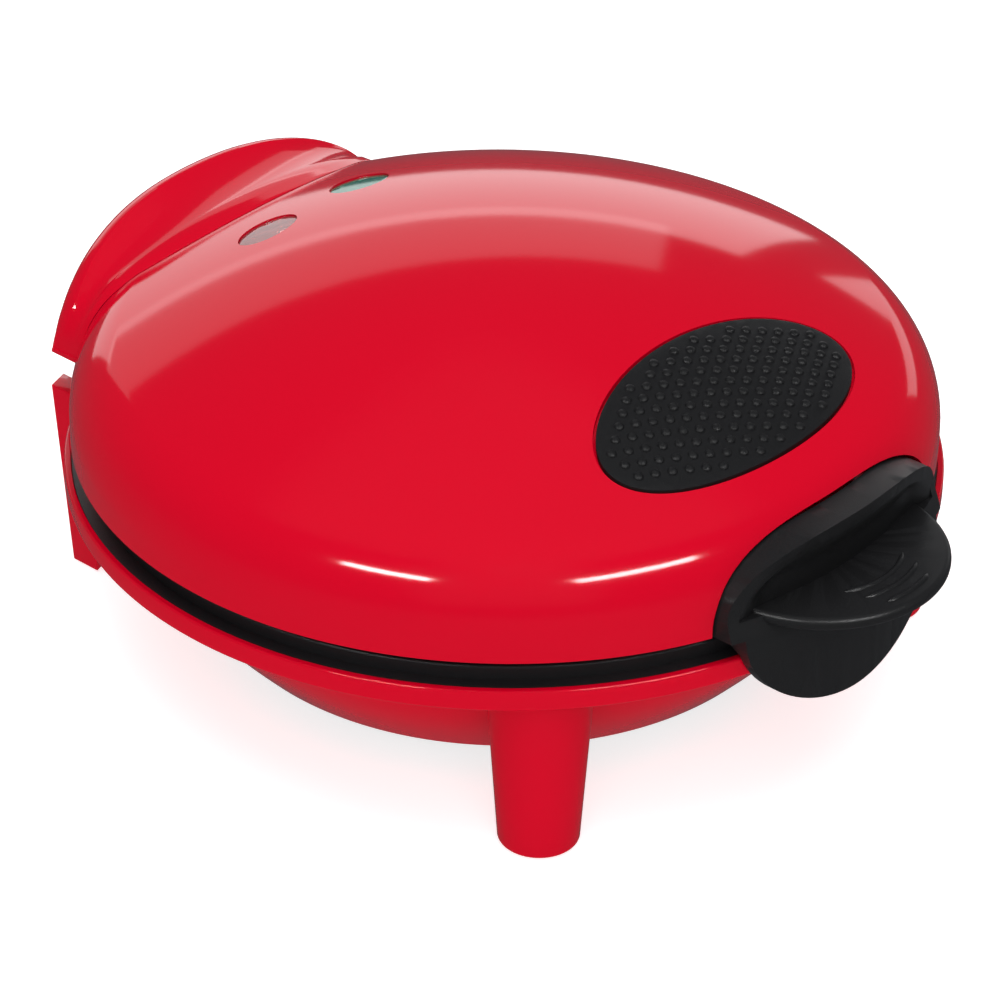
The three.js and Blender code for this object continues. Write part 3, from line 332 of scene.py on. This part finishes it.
def lid_profile(offset, bottom):
    """The lid's section, moved out by the offset: band, shoulder and crown."""
    side = LID_RADIUS + offset
    shoulder = arc(INSET, SHOULDER_Z, SHOULDER + offset, 0, MEET, 20)
    crown = arc(0, DOME_CENTRE, DOME + offset, MEET, 90, 34)[1:-1]
    wall = [(side, bottom + (SHOULDER_Z - bottom) * i / 3) for i in range(3)]
    return [(0, bottom)] + wall + shoulder + crown + [(0, DOME_CENTRE + DOME + offset)]


def lid_solid(name, offset, bottom=LID_EDGE):
    return spin(name, lid_profile(offset, bottom))


def dome_height(radius):
    return DOME_CENTRE + math.sqrt(DOME ** 2 - radius ** 2)


def lid_surface(x, y, z):
    """The outward direction of the lid's outer surface at a point on it."""
    radius = math.hypot(x, y)
    if radius < TINY:
        return Vector((0, 0, 1))
    if z <= SHOULDER_Z:
        away, centre_r, centre_z, reach = radius - LID_RADIUS, 0.0, z, radius
    elif math.degrees(math.atan2(z - DOME_CENTRE, radius)) >= MEET:
        reach = math.hypot(radius, z - DOME_CENTRE)
        away, centre_r, centre_z = reach - DOME, 0.0, DOME_CENTRE
    else:
        reach = math.hypot(radius - INSET, z - SHOULDER_Z)
        away, centre_r, centre_z = reach - SHOULDER, INSET, SHOULDER_Z
    if abs(away) > ON_DOME:
        return None
    share = (radius - centre_r) / reach
    return Vector((x / radius * share, y / radius * share, (z - centre_z) / reach)).normalized()


def plug(name, x, y, half_x, half_y, below, above):
    """An oval plug square to the dome at (x, y)."""
    obj = prism(name, oval(0, 0, half_x, half_y, 64), -below, above)
    tilt = math.asin(abs(y) / DOME) * (-1 if y > 0 else 1)
    lift = Matrix.Translation((x * MM, y * MM + AXIS_Y, dome_height(math.hypot(x, y)) * MM))
    obj.data.transform(lift @ Matrix.Rotation(tilt, 4, "X") @ Matrix.Translation((0, -AXIS_Y, 0)))
    return obj


# ------------------------------------------------------------------ the latch's outlines

LATCH_HALF = 45.4
LATCH_TOP = 23.4
LATCH_POWER = 2.8
TONGUE_HALF = 41.5
TONGUE_DROP = 30.5
TONGUE_POWER = 1.9
NOTCH_FLOOR = LID_RADIUS - 12.0
NOTCH_GAP = 0.8
LATCH_FRONT = -160.0         # blocks for the latch run along Y between these two
LATCH_BACK = -60.0


def plate_outline(grow):
    """The latch's upper plate from the front, a flattened arch above the lid edge."""
    right = []
    for i in range(25):
        turn = math.pi / 2 * i / 24
        across = math.cos(turn) ** (2 / LATCH_POWER) if i < 24 else 0.0
        rise = math.sin(turn) ** (2 / LATCH_POWER)
        right.append(((LATCH_HALF + grow) * across, LID_EDGE + (LATCH_TOP + grow) * rise))
    return right + [(-x, z) for x, z in reversed(right[:-1])]


def latch_outline():
    """The whole latch from the front: its plate above the lid edge, its tongue below."""
    below = []
    for i in range(49):
        turn = -math.pi * i / 48
        across = math.copysign(abs(math.cos(turn)) ** (2 / TONGUE_POWER), math.cos(turn))
        drop = abs(math.sin(turn)) ** (2 / TONGUE_POWER) if 0 < i < 48 else 0.0
        below.append((TONGUE_HALF * across, LID_EDGE - 0.01 - TONGUE_DROP * drop))
    return plate_outline(0) + below[::-1]


def ring(name, inner, outer, z0, z1):
    """A ring about the body's axis."""
    return spin(name, [(inner, z0), (outer, z0), (outer, z1), (inner, z1)])


def notch(name, grow, radius):
    """The room for the latch in the lid's front, as deep as the radius."""
    core = spin(name + "_core", [(0, LID_EDGE - 6), (radius, LID_EDGE - 6), (radius, LID_EDGE + 60),
                                 (0, LID_EDGE + 60)])
    outline = plate_outline(grow)
    skirt = [(x, z - 3) if z == LID_EDGE else (x, z) for x, z in outline]
    return cut(prism(name, skirt, LATCH_FRONT - 40, LATCH_BACK, front=True), core)


# ------------------------------------------------------------------ lid

GRIP_Y = -78.5
GRIP_HALF_X = 48.4
GRIP_HALF_Y = 22.8
GRIP_RECESS = 1.6
LAMP_X = 19.0
LAMP_Y = 73.5
LAMP_HALF_X = 10.4
LAMP_HALF_Y = 6.6
WINDOW_REACH = 12.0
LENS_GAP = 0.25
LENS_SINK = 0.55
LUG_HALF = 1.6


def grip_block(name, grow):
    """An upright oval block through the dome at the grip pad's place."""
    return prism(name, oval(0, GRIP_Y, GRIP_HALF_X + grow, GRIP_HALF_Y + grow), LID_EDGE + 10, LID_TOP + 10)


def grip_seat(name, depth, grow):
    """The grip pad's recess, that deep below the dome."""
    return cut(grip_block(name, grow), lid_solid("floor", -depth))


def make_lug(x):
    """A rounded lug in the notch, which holds the latch's pin."""
    nose = rod("lug", LUG_RADIUS, x - LUG_HALF, x + LUG_HALF, PIVOT_Y, PIVOT_Z)
    root = block("lug_root", x - LUG_HALF, x + LUG_HALF, PIVOT_Y, -(NOTCH_FLOOR - 3), PIVOT_Z - LUG_RADIUS,
                 PIVOT_Z + LUG_RADIUS)
    return join(nose, root)


def make_lid():
    inside = lid_solid("inside", -LID_WALL, LID_EDGE - 1)
    cut(inside, notch("pocket_wall", NOTCH_GAP + LID_WALL, NOTCH_FLOOR - LID_WALL),
        grip_seat("seat_wall", GRIP_RECESS + LID_WALL, LID_WALL))
    lid = cut(lid_solid("lid", 0), inside, notch("pocket", NOTCH_GAP, NOTCH_FLOOR),
              grip_seat("seat", GRIP_RECESS, 0))
    for x in (PIVOT_SPREAD - LUG_OFFSET, PIVOT_SPREAD + LUG_OFFSET):
        for side in (-1, 1):
            join(lid, make_lug(side * x))
    cut(lid, *[plug("window", side * LAMP_X, LAMP_Y, LAMP_HALF_X, LAMP_HALF_Y, WINDOW_REACH, WINDOW_REACH)
               for side in (-1, 1)])
    soften(lid, 0.45, segments=3)
    true_normals(lid, lid_surface)
    return finish_piece(lid, "lid", ["lid_shell"], RED)


def make_lens(side, name, material):
    """A lens a little below the dome, bulged with it."""
    x = side * LAMP_X
    lens = plug(name + "_body", x, LAMP_Y, LAMP_HALF_X - LENS_GAP, LAMP_HALF_Y - LENS_GAP, 3.6, 2.0)
    keep(lens, lid_solid("lens_top", -LENS_SINK))
    soften(lens, 0.4, segments=3)
    return finish_piece(lens, "lid", [name], material)


# ------------------------------------------------------------------ baking plates

SPLIT = 60.4
WELL_RADIUS = 31.0
WELL_DEPTH = 9.0
POST_RADIUS = 9.0
WELL_PITCH = 70.0
PLATE_RADIUS = 117.6
SCREW_CIRCLE = 98.0
SCREW_SEAT_RADIUS = 3.9
SCREW_SEAT_DEPTH = 1.6

# a plate's heights are counted up from the split, as if it lay with its face upwards
PLATE_FACE = -0.15
PLATE_UNDERSIDE = -3.55
PLATE_FLANGE = -4.3
FLANGE_THICKNESS = 2.1
CUP_BOTTOM = -11.35
CUP_LOW_RADIUS = 26.0
CUP_WALL = 1.6
ON_FACE = 0.02


def around(count, radius, first):
    """Evenly spaced places on a circle, the first at that many degrees."""
    turns = [math.radians(first + 360 * i / count) for i in range(count)]
    return [(radius * math.cos(t), radius * math.sin(t)) for t in turns]


def make_plate(name, body, flange, way):
    """A baking plate with its face at the split: way is 1 for the lower one, -1 for the upper."""
    face, above = PLATE_FACE, 1.0
    inner, under = PLATE_RADIUS - 3, PLATE_FLANGE - FLANGE_THICKNESS
    profile = [(0, PLATE_UNDERSIDE), (inner, PLATE_UNDERSIDE), (inner, under), (flange, under),
               (flange, PLATE_FLANGE), (PLATE_RADIUS, PLATE_FLANGE)]
    profile += arc(PLATE_RADIUS - 1, face - 1, 1, 0, 90, 5) + [(0, face)]
    plate = spin(name + "_body", profile, 160)
    middle, half = (WELL_RADIUS + POST_RADIUS) / 2, (WELL_RADIUS - POST_RADIUS) / 2
    trough = [(middle + half * math.cos(t), face - WELL_DEPTH * math.sin(t))
              for t in (math.pi * i / 20 for i in range(21))]
    places = [(0, 0)] + around(6, WELL_PITCH, 90)
    cup = [(0, CUP_BOTTOM), (CUP_LOW_RADIUS, CUP_BOTTOM), (WELL_RADIUS + CUP_WALL, face - 2), (0, face - 2)]
    well = trough + [(middle - half, above), (middle + half, above)]
    seat_floor = face - SCREW_SEAT_DEPTH
    seat = [(0, seat_floor), (SCREW_SEAT_RADIUS, seat_floor), (SCREW_SEAT_RADIUS, above), (0, above)]
    join(plate, *[spin("cup", cup, 48, place) for place in places])
    cut(plate, *[spin("well", well, 72, place) for place in places])
    cut(plate, *[spin("seat", seat, 32, place) for place in around(3, SCREW_CIRCLE, 0)])
    for vertex in plate.data.vertices:
        vertex.co.y = AXIS_Y + way * (vertex.co.y - AXIS_Y)
        vertex.co.z = SPLIT * MM + way * vertex.co.z
    if way < 0:
        cut(plate, notch("plate_notch", NOTCH_GAP + LID_WALL + 0.3, NOTCH_FLOOR - LID_WALL - 0.3))
    soften(plate, 0.5, segments=2, angle=40)
    level = SPLIT + way * face
    true_normals(plate, lambda x, y, z: Vector((0, 0, way)) if abs(z - level) < ON_FACE else None)
    return finish_piece(plate, body, [name], COATING)


# ------------------------------------------------------------------ rear housings

WING_HALF = 65.8
WING_BACK = 126.3
WING_PLAN = 189.5
WING_RISE = 37.6
WING_BOTTOM = LID_EDGE + 5
WING_POWER = 2.42
WING_DEPTH = 10.4
WING_FRONT = 90.0
WING_EDGE = 6.0
WING_SAG = 1.6
STAND_TOP = LID_EDGE - 6.4
STAND_SADDLE = LID_EDGE - 15.0
STAND_EAR = 7.0
STAND_LEAN = 6.0
STAND_DEPTH = 10.0
STAND_WALL = 2.6


def wing_back(x):
    """The wing's rear face, a shallow curve seen from above."""
    return WING_BACK - x ** 2 / (2 * WING_PLAN)


def wing_top(x):
    """The wing's crest, an arch seen from behind."""
    share = min(1.0, abs(x) / WING_HALF)
    return LID_EDGE + WING_RISE * (1 - share ** WING_POWER) ** (1 / WING_POWER)


def wing_front(x):
    """Where the wing's top leaves the dome."""
    end = wing_back(WING_HALF) - WING_DEPTH
    return WING_FRONT + (end - WING_FRONT) * min(1.0, abs(x) / WING_HALF) ** 2


def wing_section(x):
    """The wing's section at x: up from the dome by a hollow slope to a rounded crest."""
    back = wing_back(x)
    front = wing_front(x)
    top = max(wing_top(x), WING_BOTTOM + 1.5)
    tall = top - WING_BOTTOM
    edge = min(WING_EDGE, tall * 0.6, (back - front) * 0.4)
    crest = back - edge
    start = min(dome_height(math.hypot(x, front)) - 0.5, top)
    fade = min(1.0, tall / 20)
    points = [(front, WING_BOTTOM), (front, start)]
    fold = front + (crest - front) * 0.3
    fold_z = start + (top - start) * 0.3 - 0.2 * fade
    for share in (0.33, 0.66, 1.0):
        points.append((front + (fold - front) * share, start + (fold_z - start) * share))
    for i in range(1, 12):
        share = i / 12
        sag = WING_SAG * fade * math.sin(math.pi * share) ** 0.8
        points.append((fold + (crest - fold) * share, fold_z + (top - fold_z) * share - sag))
    points += arc(crest, top - edge, edge, 90, 0, 8)
    points.append((back, WING_BOTTOM))
    return [(x, y, z) for y, z in points]


def make_wing():
    sections = [wing_section(-WING_HALF * math.cos(math.pi * i / 72)) for i in range(73)]
    wing = cut(loft("rear_housing", sections), lid_solid("lid_room", 0.1, LID_EDGE - 10))
    hollow = prism("hollow", [(-60, 112), (60, 112), (60, 118), (30, 122), (-30, 122), (-60, 118)],
                   WING_BOTTOM - 5, WING_BOTTOM + 4)
    hollow = cut(hollow, lid_solid("lid_room_2", 2.0, LID_EDGE - 10))
    cut(wing, hollow)
    soften(wing, 0.5, segments=2, angle=28)
    return finish_piece(wing, "lid", ["hinge_cover"], RED)


def stand_plan(inset, depth):
    """The stand from above, parallel to the wing's rear face."""
    half = WING_HALF - inset
    back = []
    for i in range(41):
        x = half - 2 * half * i / 40
        back.append((x, wing_back(x) + 0.9 - inset))
    return back + [(x, y - depth) for x, y in reversed(back)]


def lean(obj):
    """Shears a piece forwards towards the counter."""
    for vertex in obj.data.vertices:
        vertex.co.y += STAND_LEAN * (vertex.co.z / STAND_TOP - MM)
    return obj


def make_stand():
    stand = lean(prism("stand", stand_plan(0, STAND_DEPTH), 0.5, STAND_TOP))
    cavity = lean(prism("cavity", stand_plan(STAND_WALL, 30), 4.8, RIM_BOTTOM - 5))
    middle = WING_HALF - STAND_EAR
    room = spin("room", [(0, RIM_BOTTOM - 2), (BASE_RADIUS + 0.3, RIM_BOTTOM - 2),
                         (BASE_RADIUS + 0.3, 100), (0, 100)])
    cut(stand, cavity, block("saddle", -middle, middle, 60, 200, STAND_SADDLE, STAND_TOP + 10), room)
    soften(stand, 0.9, segments=3)
    return finish_piece(stand, "base", ["rear_stand"], RED)


# ------------------------------------------------------------------ base and legs

BASE_WALL = 2.6
COVER_SEAT = 13.7
COVER_LEDGE = 5.0
COVER_LEDGE_THICKNESS = 2.0
LIP_ROUND = 0.7
RIM_ROUND = 1.3


def bowl_radius(z):
    """The bowl's outside radius, which grows with height and bulges a little."""
    share = (z - BOWL_BOTTOM) / (RIM_BOTTOM - BOWL_BOTTOM)
    bulge = BOWL_BULGE * math.sin(math.pi * share)
    return BOWL_LOW_RADIUS + (BOWL_HIGH_RADIUS - BOWL_LOW_RADIUS) * share + bulge


def bowl_wall(offset, start, end, steps=16):
    heights = [start + (end - start) * i / steps for i in range(steps + 1)]
    return [(bowl_radius(z) + offset, z) for z in heights]


def make_base():
    opening = BOWL_LOW_RADIUS - BASE_WALL
    seat_top = COVER_SEAT + COVER_LEDGE_THICKNESS
    ledge = BASE_LIP - 2.8
    profile = [(BASE_RADIUS - LIP_WALL, BASE_LIP)]
    profile += arc(BASE_RADIUS - LIP_ROUND, BASE_LIP - LIP_ROUND, LIP_ROUND, 90, 0, 4)
    profile += arc(BASE_RADIUS - RIM_ROUND, RIM_BOTTOM + RIM_ROUND, RIM_ROUND, 0, -90, 5)
    profile += bowl_wall(0, RIM_BOTTOM, BOWL_BOTTOM)
    profile += [(opening, BOWL_BOTTOM), (opening, COVER_SEAT), (opening - COVER_LEDGE, COVER_SEAT),
                (opening - COVER_LEDGE, seat_top)]
    profile += bowl_wall(-BASE_WALL, seat_top, ledge)
    profile += [(BASE_RADIUS - LIP_WALL, ledge)]
    base = spin("base", profile)
    soften(base, 0.0)
    return finish_piece(base, "base", ["base_housing"], RED)


LEG_ANGLE = math.radians(43.5)
LEG_TOP_RADIUS = 14.6
LEG_FOOT_RADIUS = 11.2
LEG_TOP_SETBACK = 14.2
LEG_FOOT_SETBACK = 11.3
LEG_ROUND = 1.2
LEG_ROOM = 0.2               # clearance between a leg and the bowl


def make_leg(side, name):
    foot, top = 0.5, RIM_BOTTOM - 0.3
    profile = [(0, foot), (LEG_FOOT_RADIUS - 1.5, foot)]
    profile += arc(LEG_FOOT_RADIUS - LEG_ROUND, foot + LEG_ROUND, LEG_ROUND, -80, 0, 6)
    profile += [(LEG_TOP_RADIUS, top), (0, top)]
    leg = spin(name, profile, 96)
    share = (LEG_FOOT_SETBACK - LEG_TOP_SETBACK) / RIM_BOTTOM
    out = Vector((side * math.sin(LEG_ANGLE), -math.cos(LEG_ANGLE), 0))
    for vertex in leg.data.vertices:
        reach = (LID_RADIUS - LEG_FOOT_SETBACK) * MM + share * vertex.co.z
        vertex.co += out * reach
    room = [(0, BOWL_BOTTOM - LEG_ROOM)] + bowl_wall(LEG_ROOM, BOWL_BOTTOM, RIM_BOTTOM) + [(0, RIM_BOTTOM)]
    cut(leg, spin("bowl_room", room))
    soften(leg, 0.5)
    return finish_piece(leg, "base", [name], RED)


# ------------------------------------------------------------------ latch

PLATE_OUTER = LID_RADIUS + 2.8
PLATE_INNER = PLATE_OUTER - 5.0
TONGUE_INNER = BASE_RADIUS + 0.7
TONGUE_OUTER = TONGUE_INNER + 3.0
SHELF_TOP = LID_EDGE + 6.0
SHELF_THICK = 3.8
SHELF_RADIUS = 36.4
SHELF_Y = -(147.0 - SHELF_RADIUS)
DISH = 3.0
DISH_RUN = 9.0
BORDER = 3.2
HOOD_DEPTH = 9.8
HOOD_WALL = 3.0
PIVOT_Y = -(LID_RADIUS - 7.6)
PIVOT_Z = LID_EDGE + 13
PIVOT_SPREAD = 11.0
EYE_RADIUS = 3.2
EYE_HALF = 3.0
SHELF_ROUND = 1.7
LUG_RADIUS = 3.4
LUG_OFFSET = 5.2
RIBS = ((23.3, 33), (27.7, 24), (32.0, 16))     # each rib's radius, and half its sweep in degrees


def ease(share):
    """A smooth start and end between 0 and 1."""
    return share * share * (3 - 2 * share)


def latch_wall():
    """The latch's section: a tongue outside the base rim, easing in to a plate on the lid's band."""
    bottom, top = LID_EDGE - TONGUE_DROP - 1, LID_EDGE + LATCH_TOP + 1
    outer = [(TONGUE_OUTER, bottom)]
    for i in range(13):
        share = i / 12
        outer.append((TONGUE_OUTER + (PLATE_OUTER - TONGUE_OUTER) * ease(share), LID_EDGE - 3 + 12 * share))
    outer += [(PLATE_OUTER, top), (PLATE_INNER, top), (PLATE_INNER, LID_EDGE - 1.5)]
    return spin("wall", outer + [(TONGUE_INNER, LID_EDGE - 6), (TONGUE_INNER, bottom)])


def dish_tool():
    """The hollow above the shelf: it eases in from the plate's border and runs down to the shelf."""
    rows, columns = 30, 56
    height = LATCH_TOP - BORDER
    low = SHELF_TOP - 1.0
    back, front = [], []
    for j in range(rows + 1):
        z = low + (LID_EDGE + height - 0.15 - low) * j / rows
        rise = min(0.9999, (z - LID_EDGE) / height)
        half = (LATCH_HALF - BORDER) * (1 - rise ** LATCH_POWER) ** (1 / LATCH_POWER)
        for i in range(columns + 1):
            x = half * math.sin(math.pi / 2 * (2 * i / columns - 1))
            inset = min((half - abs(x)) * 0.9, (LID_EDGE + height - z) * 1.1)
            depth = DISH * ease(min(1.0, max(0.0, inset) / DISH_RUN)) - 0.03
            radius = PLATE_OUTER - depth
            back.append((x, -math.sqrt(radius ** 2 - x ** 2), z))
            front.append((x, LATCH_FRONT, z))
    wide = columns + 1
    faces = []
    for j in range(rows):
        for i in range(columns):
            a, b, c, d = j * wide + i, j * wide + i + 1, (j + 1) * wide + i + 1, (j + 1) * wide + i
            faces += [(a, b, c, d), tuple(k + len(back) for k in (d, c, b, a))]
    edge = list(range(wide)) + [j * wide + columns for j in range(1, rows + 1)]
    edge += [rows * wide + i for i in range(columns - 1, -1, -1)]
    edge += [j * wide for j in range(rows - 1, 0, -1)]
    for k, here in enumerate(edge):
        there = edge[(k + 1) % len(edge)]
        faces.append((here, there, there + len(back), here + len(back)))
    return build("dish", back + front, faces)


def make_latch():
    latch = keep(prism("latch_body", latch_outline(), LATCH_FRONT, LATCH_BACK, front=True), latch_wall())
    cut(latch, dish_tool())
    hood = keep(prism("hood", plate_outline(0), LATCH_FRONT, LATCH_BACK, front=True),
                ring("hood_ring", PLATE_OUTER - HOOD_DEPTH, PLATE_INNER + 0.5, SHELF_TOP - 1, 100))
    cut(hood, prism("hood_room", [(x, z - 5 if z == LID_EDGE else z) for x, z in plate_outline(-HOOD_WALL)],
                    LATCH_FRONT - 10, LATCH_BACK + 10, front=True))
    shelf_low, shelf_round = SHELF_TOP - SHELF_THICK, SHELF_RADIUS - SHELF_ROUND
    shelf_profile = [(0, shelf_low)]
    shelf_profile += arc(shelf_round, shelf_low + SHELF_ROUND, SHELF_ROUND, -90, 0, 5)
    shelf_profile += arc(shelf_round, SHELF_TOP - SHELF_ROUND, SHELF_ROUND, 0, 90, 5) + [(0, SHELF_TOP)]
    shelf = spin("shelf", shelf_profile, 128, (0, SHELF_Y))
    cut(shelf, spin("core", [(0, 50), (PLATE_INNER + 0.6, 50), (PLATE_INNER + 0.6, 90), (0, 90)]))
    join(latch, shelf, hood)
    for side in (-1, 1):
        x = side * PIVOT_SPREAD
        eye = rod("eye", EYE_RADIUS, x - EYE_HALF, x + EYE_HALF, PIVOT_Y, PIVOT_Z)
        root = block("root", x - EYE_HALF, x + EYE_HALF, -(PLATE_INNER + 1), PIVOT_Y, PIVOT_Z - EYE_RADIUS,
                     PIVOT_Z + EYE_RADIUS)
        join(latch, join(eye, root))
    soften(latch, 0.5, segments=3, angle=38)
    return finish_piece(latch, "latch", ["latch"], BLACK)


def make_ribs():
    """The three curved ribs on the thumb shelf, thinner towards their ends."""
    section = [(-0.9, -0.1), (-0.6, 0.5), (0.0, 0.75), (0.6, 0.5), (0.9, -0.1)]
    count = len(section)
    steps = 20
    points, faces = [], []
    for radius, half in RIBS:
        first = len(points)
        for i in range(steps + 1):
            turn = math.radians(-half + 2 * half * i / steps)
            end = min(i, steps - i)
            size = min(1.0, 0.25 + 0.4 * end)
            for across, up in section:
                r = radius + across * size
                points.append((r * math.sin(turn), SHELF_Y - r * math.cos(turn), SHELF_TOP + up * size))
        for i in range(steps):
            for k in range(count):
                n = (k + 1) % count
                a, b = first + i * count, first + (i + 1) * count
                faces.append((a + k, a + n, b + n, b + k))
        last = first + steps * count
        faces.append(tuple(range(first, first + count)))
        faces.append(tuple(range(last + count - 1, last - 1, -1)))
    ribs = soften(build("latch_ribs", points, faces), 0.0, angle=50)
    return finish_piece(ribs, "latch", [], BLACK)


# ------------------------------------------------------------------ grip pad

DOT_PITCH = 4.87
DOT_RADIUS = 1.45
DOT_HEIGHT = 0.85
DOT_SIDES = 12
DOT_LEVELS = 4
PAD_GAP = 0.9


def make_pad():
    pad = grip_block("grip_pad_body", -PAD_GAP)
    cut(pad, lid_solid("pad_floor", -(GRIP_RECESS - 0.3)))
    keep(pad, lid_solid("pad_top", 0.15))
    soften(pad, 0.5, segments=3)
    return finish_piece(pad, "lid", ["grip_pad"], RUBBER)


def make_dots():
    """Small domes in staggered rows on the grip pad, square to the dome."""
    points, faces = [], []
    across = DOT_PITCH * math.sqrt(3) / 2
    slope = math.asin(-GRIP_Y / DOME)
    for i in range(-14, 15):
        for j in range(-6, 7):
            x = across * i
            along = DOT_PITCH * (j + 0.5 * (i % 2))
            y = GRIP_Y + along * math.cos(slope)
            if (x / (GRIP_HALF_X - 3.6)) ** 2 + ((y - GRIP_Y) / (GRIP_HALF_Y - 3.2)) ** 2 > 1:
                continue
            out = lid_surface(x, y, dome_height(math.hypot(x, y)))
            side = Vector((1, 0, 0)).cross(out).normalized()
            flat = out.cross(side)
            foot = Vector((x, y, dome_height(math.hypot(x, y)))) + out * 0.1
            first = len(points)
            for level in range(DOT_LEVELS):
                turn = math.pi / 2 * level / DOT_LEVELS
                for k in range(DOT_SIDES):
                    bearing = 2 * math.pi * k / DOT_SIDES
                    reach = DOT_RADIUS * math.cos(turn)
                    spot = foot + (flat * math.cos(bearing) + side * math.sin(bearing)) * reach
                    points.append(tuple(spot + out * DOT_HEIGHT * math.sin(turn)))
            points.append(tuple(foot + out * DOT_HEIGHT))
            for level in range(DOT_LEVELS - 1):
                for k in range(DOT_SIDES):
                    n = (k + 1) % DOT_SIDES
                    a, b = first + level * DOT_SIDES, first + (level + 1) * DOT_SIDES
                    faces.append((a + k, a + n, b + n, b + k))
            last = first + (DOT_LEVELS - 1) * DOT_SIDES
            faces += [(last + k, last + (k + 1) % DOT_SIDES, last + DOT_SIDES) for k in range(DOT_SIDES)]
            faces.append(tuple(range(first + DOT_SIDES - 1, first - 1, -1)))
    dots = soften(build("grip_dots", points, faces), 0.0, angle=60)
    return finish_piece(dots, "lid", [], RUBBER)


# ------------------------------------------------------------------ camera, floor and light

CAMERA_BACK = (-0.6453, -0.5612, 0.5182)     # from the object to the camera; distances are in metres
CAMERA_DISTANCE = 1.2386
CAMERA_ROLL = 0.0134
CAMERA_DROP = 0.0228
CAMERA_SHIFT = 0.0013
FOCAL_LENGTH = 158.2


def make_camera():
    """The photo's view: from the front left and above, with a slight roll."""
    back = Vector(CAMERA_BACK).normalized()
    right = Vector((0, 0, 1)).cross(back).normalized()
    up = back.cross(right)
    cos, sin = math.cos(CAMERA_ROLL), math.sin(CAMERA_ROLL)
    right, up = (right * cos + up * sin, up * cos - right * sin)
    centre = Vector((0, AXIS_Y, LID_EDGE * MM))
    place = centre + back * CAMERA_DISTANCE
    aim = centre - up * CAMERA_DROP - right * CAMERA_SHIFT
    look = (place - aim).normalized()
    right = up.cross(look).normalized()
    up = look.cross(right)
    data = bpy.data.cameras.new("camera")
    data.sensor_width = 36.0
    data.lens = FOCAL_LENGTH
    data.clip_start = 0.05
    data.clip_end = 50.0
    camera = bpy.data.objects.new("camera", data)
    turn = Matrix((right, up, look)).transposed().to_4x4()
    camera.matrix_world = Matrix.Translation(place) @ turn
    bpy.context.scene.collection.objects.link(camera)
    bpy.context.scene.camera = camera


def make_floor():
    """A pale floor that glows a little, so that it stays near white."""
    mesh = bpy.data.meshes.new("floor")
    half = 6.0
    mesh.from_pydata([(-half, -half, 0), (half, -half, 0), (half, half, 0), (-half, half, 0)], [],
                     [(0, 1, 2, 3)])
    floor = bpy.data.objects.new("floor", mesh)
    bpy.context.scene.collection.objects.link(floor)
    paper = surface_material("pale_floor", (0.6, 0.6, 0.6), 0.6, specular=0.2)
    glow = paper.node_tree.nodes["Principled BSDF"]
    glow.inputs["Emission Color"].default_value = (1.0, 1.0, 1.0, 1.0)
    glow.inputs["Emission Strength"].default_value = 0.75
    mesh.materials.append(paper)
    floor.visible_glossy = False


def area_light(name, place, aim, size, watts, mirrored, size_y=None):
    """A soft light: a fill, or one that is only seen mirrored in the glossy surfaces."""
    data = bpy.data.lights.new(name, "AREA")
    data.shape = "RECTANGLE"
    data.size = size
    data.size_y = size_y or size
    data.energy = watts
    light = bpy.data.objects.new(name, data)
    light.location = place
    light.rotation_euler = (Vector(place) - Vector(aim)).to_track_quat("Z", "Y").to_euler()
    light.visible_glossy = mirrored
    light.visible_diffuse = not mirrored
    light.visible_camera = False
    bpy.context.scene.collection.objects.link(light)


def toward(azimuth, elevation, distance):
    """A place that far from the object, at degrees round from +X and up from level."""
    turn, rise = math.radians(azimuth), math.radians(elevation)
    level = math.cos(rise)
    return Vector((math.cos(turn) * level, math.sin(turn) * level, math.sin(rise))) * distance


def make_light():
    world = bpy.data.worlds.new("studio")
    world.use_nodes = True
    shade = world.node_tree.nodes["Background"]
    shade.inputs["Color"].default_value = (0.9, 0.93, 1.0, 1.0)
    shade.inputs["Strength"].default_value = 0.10
    bpy.context.scene.world = world
    bpy.context.scene.view_settings.view_transform = "Standard"
    middle = Vector((0, 0, 0.08))
    area_light("top_fill", (0.0, 0.0, 3.0), middle, 3.4, 118, False)
    area_light("front_fill", toward(-138, 35, 2.6), middle, 2.0, 30, False)
    area_light("backdrop", toward(52, 10, 2.6), middle, 2.6, 10, True, size_y=0.9)
    area_light("backdrop_high", toward(56, 25, 2.6), middle, 2.4, 3.2, True, size_y=0.7)
    area_light("backdrop_right", toward(8, 9, 2.6), middle, 1.1, 1.6, True, size_y=0.4)
    area_light("left_strip", toward(-171, 40, 1.8), middle, 0.6, 8, True, size_y=0.12)
    area_light("front_strip", toward(-102, 41, 1.8), middle, 0.85, 10, True, size_y=0.13)


make_camera()
make_lid()
make_wing()
make_stand()
make_base()
make_leg(-1, "front_leg_left")
make_leg(1, "front_leg_right")
make_latch()
make_ribs()
make_pad()
make_dots()
make_lens(-1, "power_lamp_lens", POWER_LENS)
make_lens(1, "ready_lamp_lens", READY_LENS)
make_plate("lower_plate", "base", BASE_RADIUS - LIP_WALL - 0.3, 1)
make_plate("upper_plate", "lid", LID_RADIUS - LID_WALL - 0.3, -1)
make_floor()
make_light()
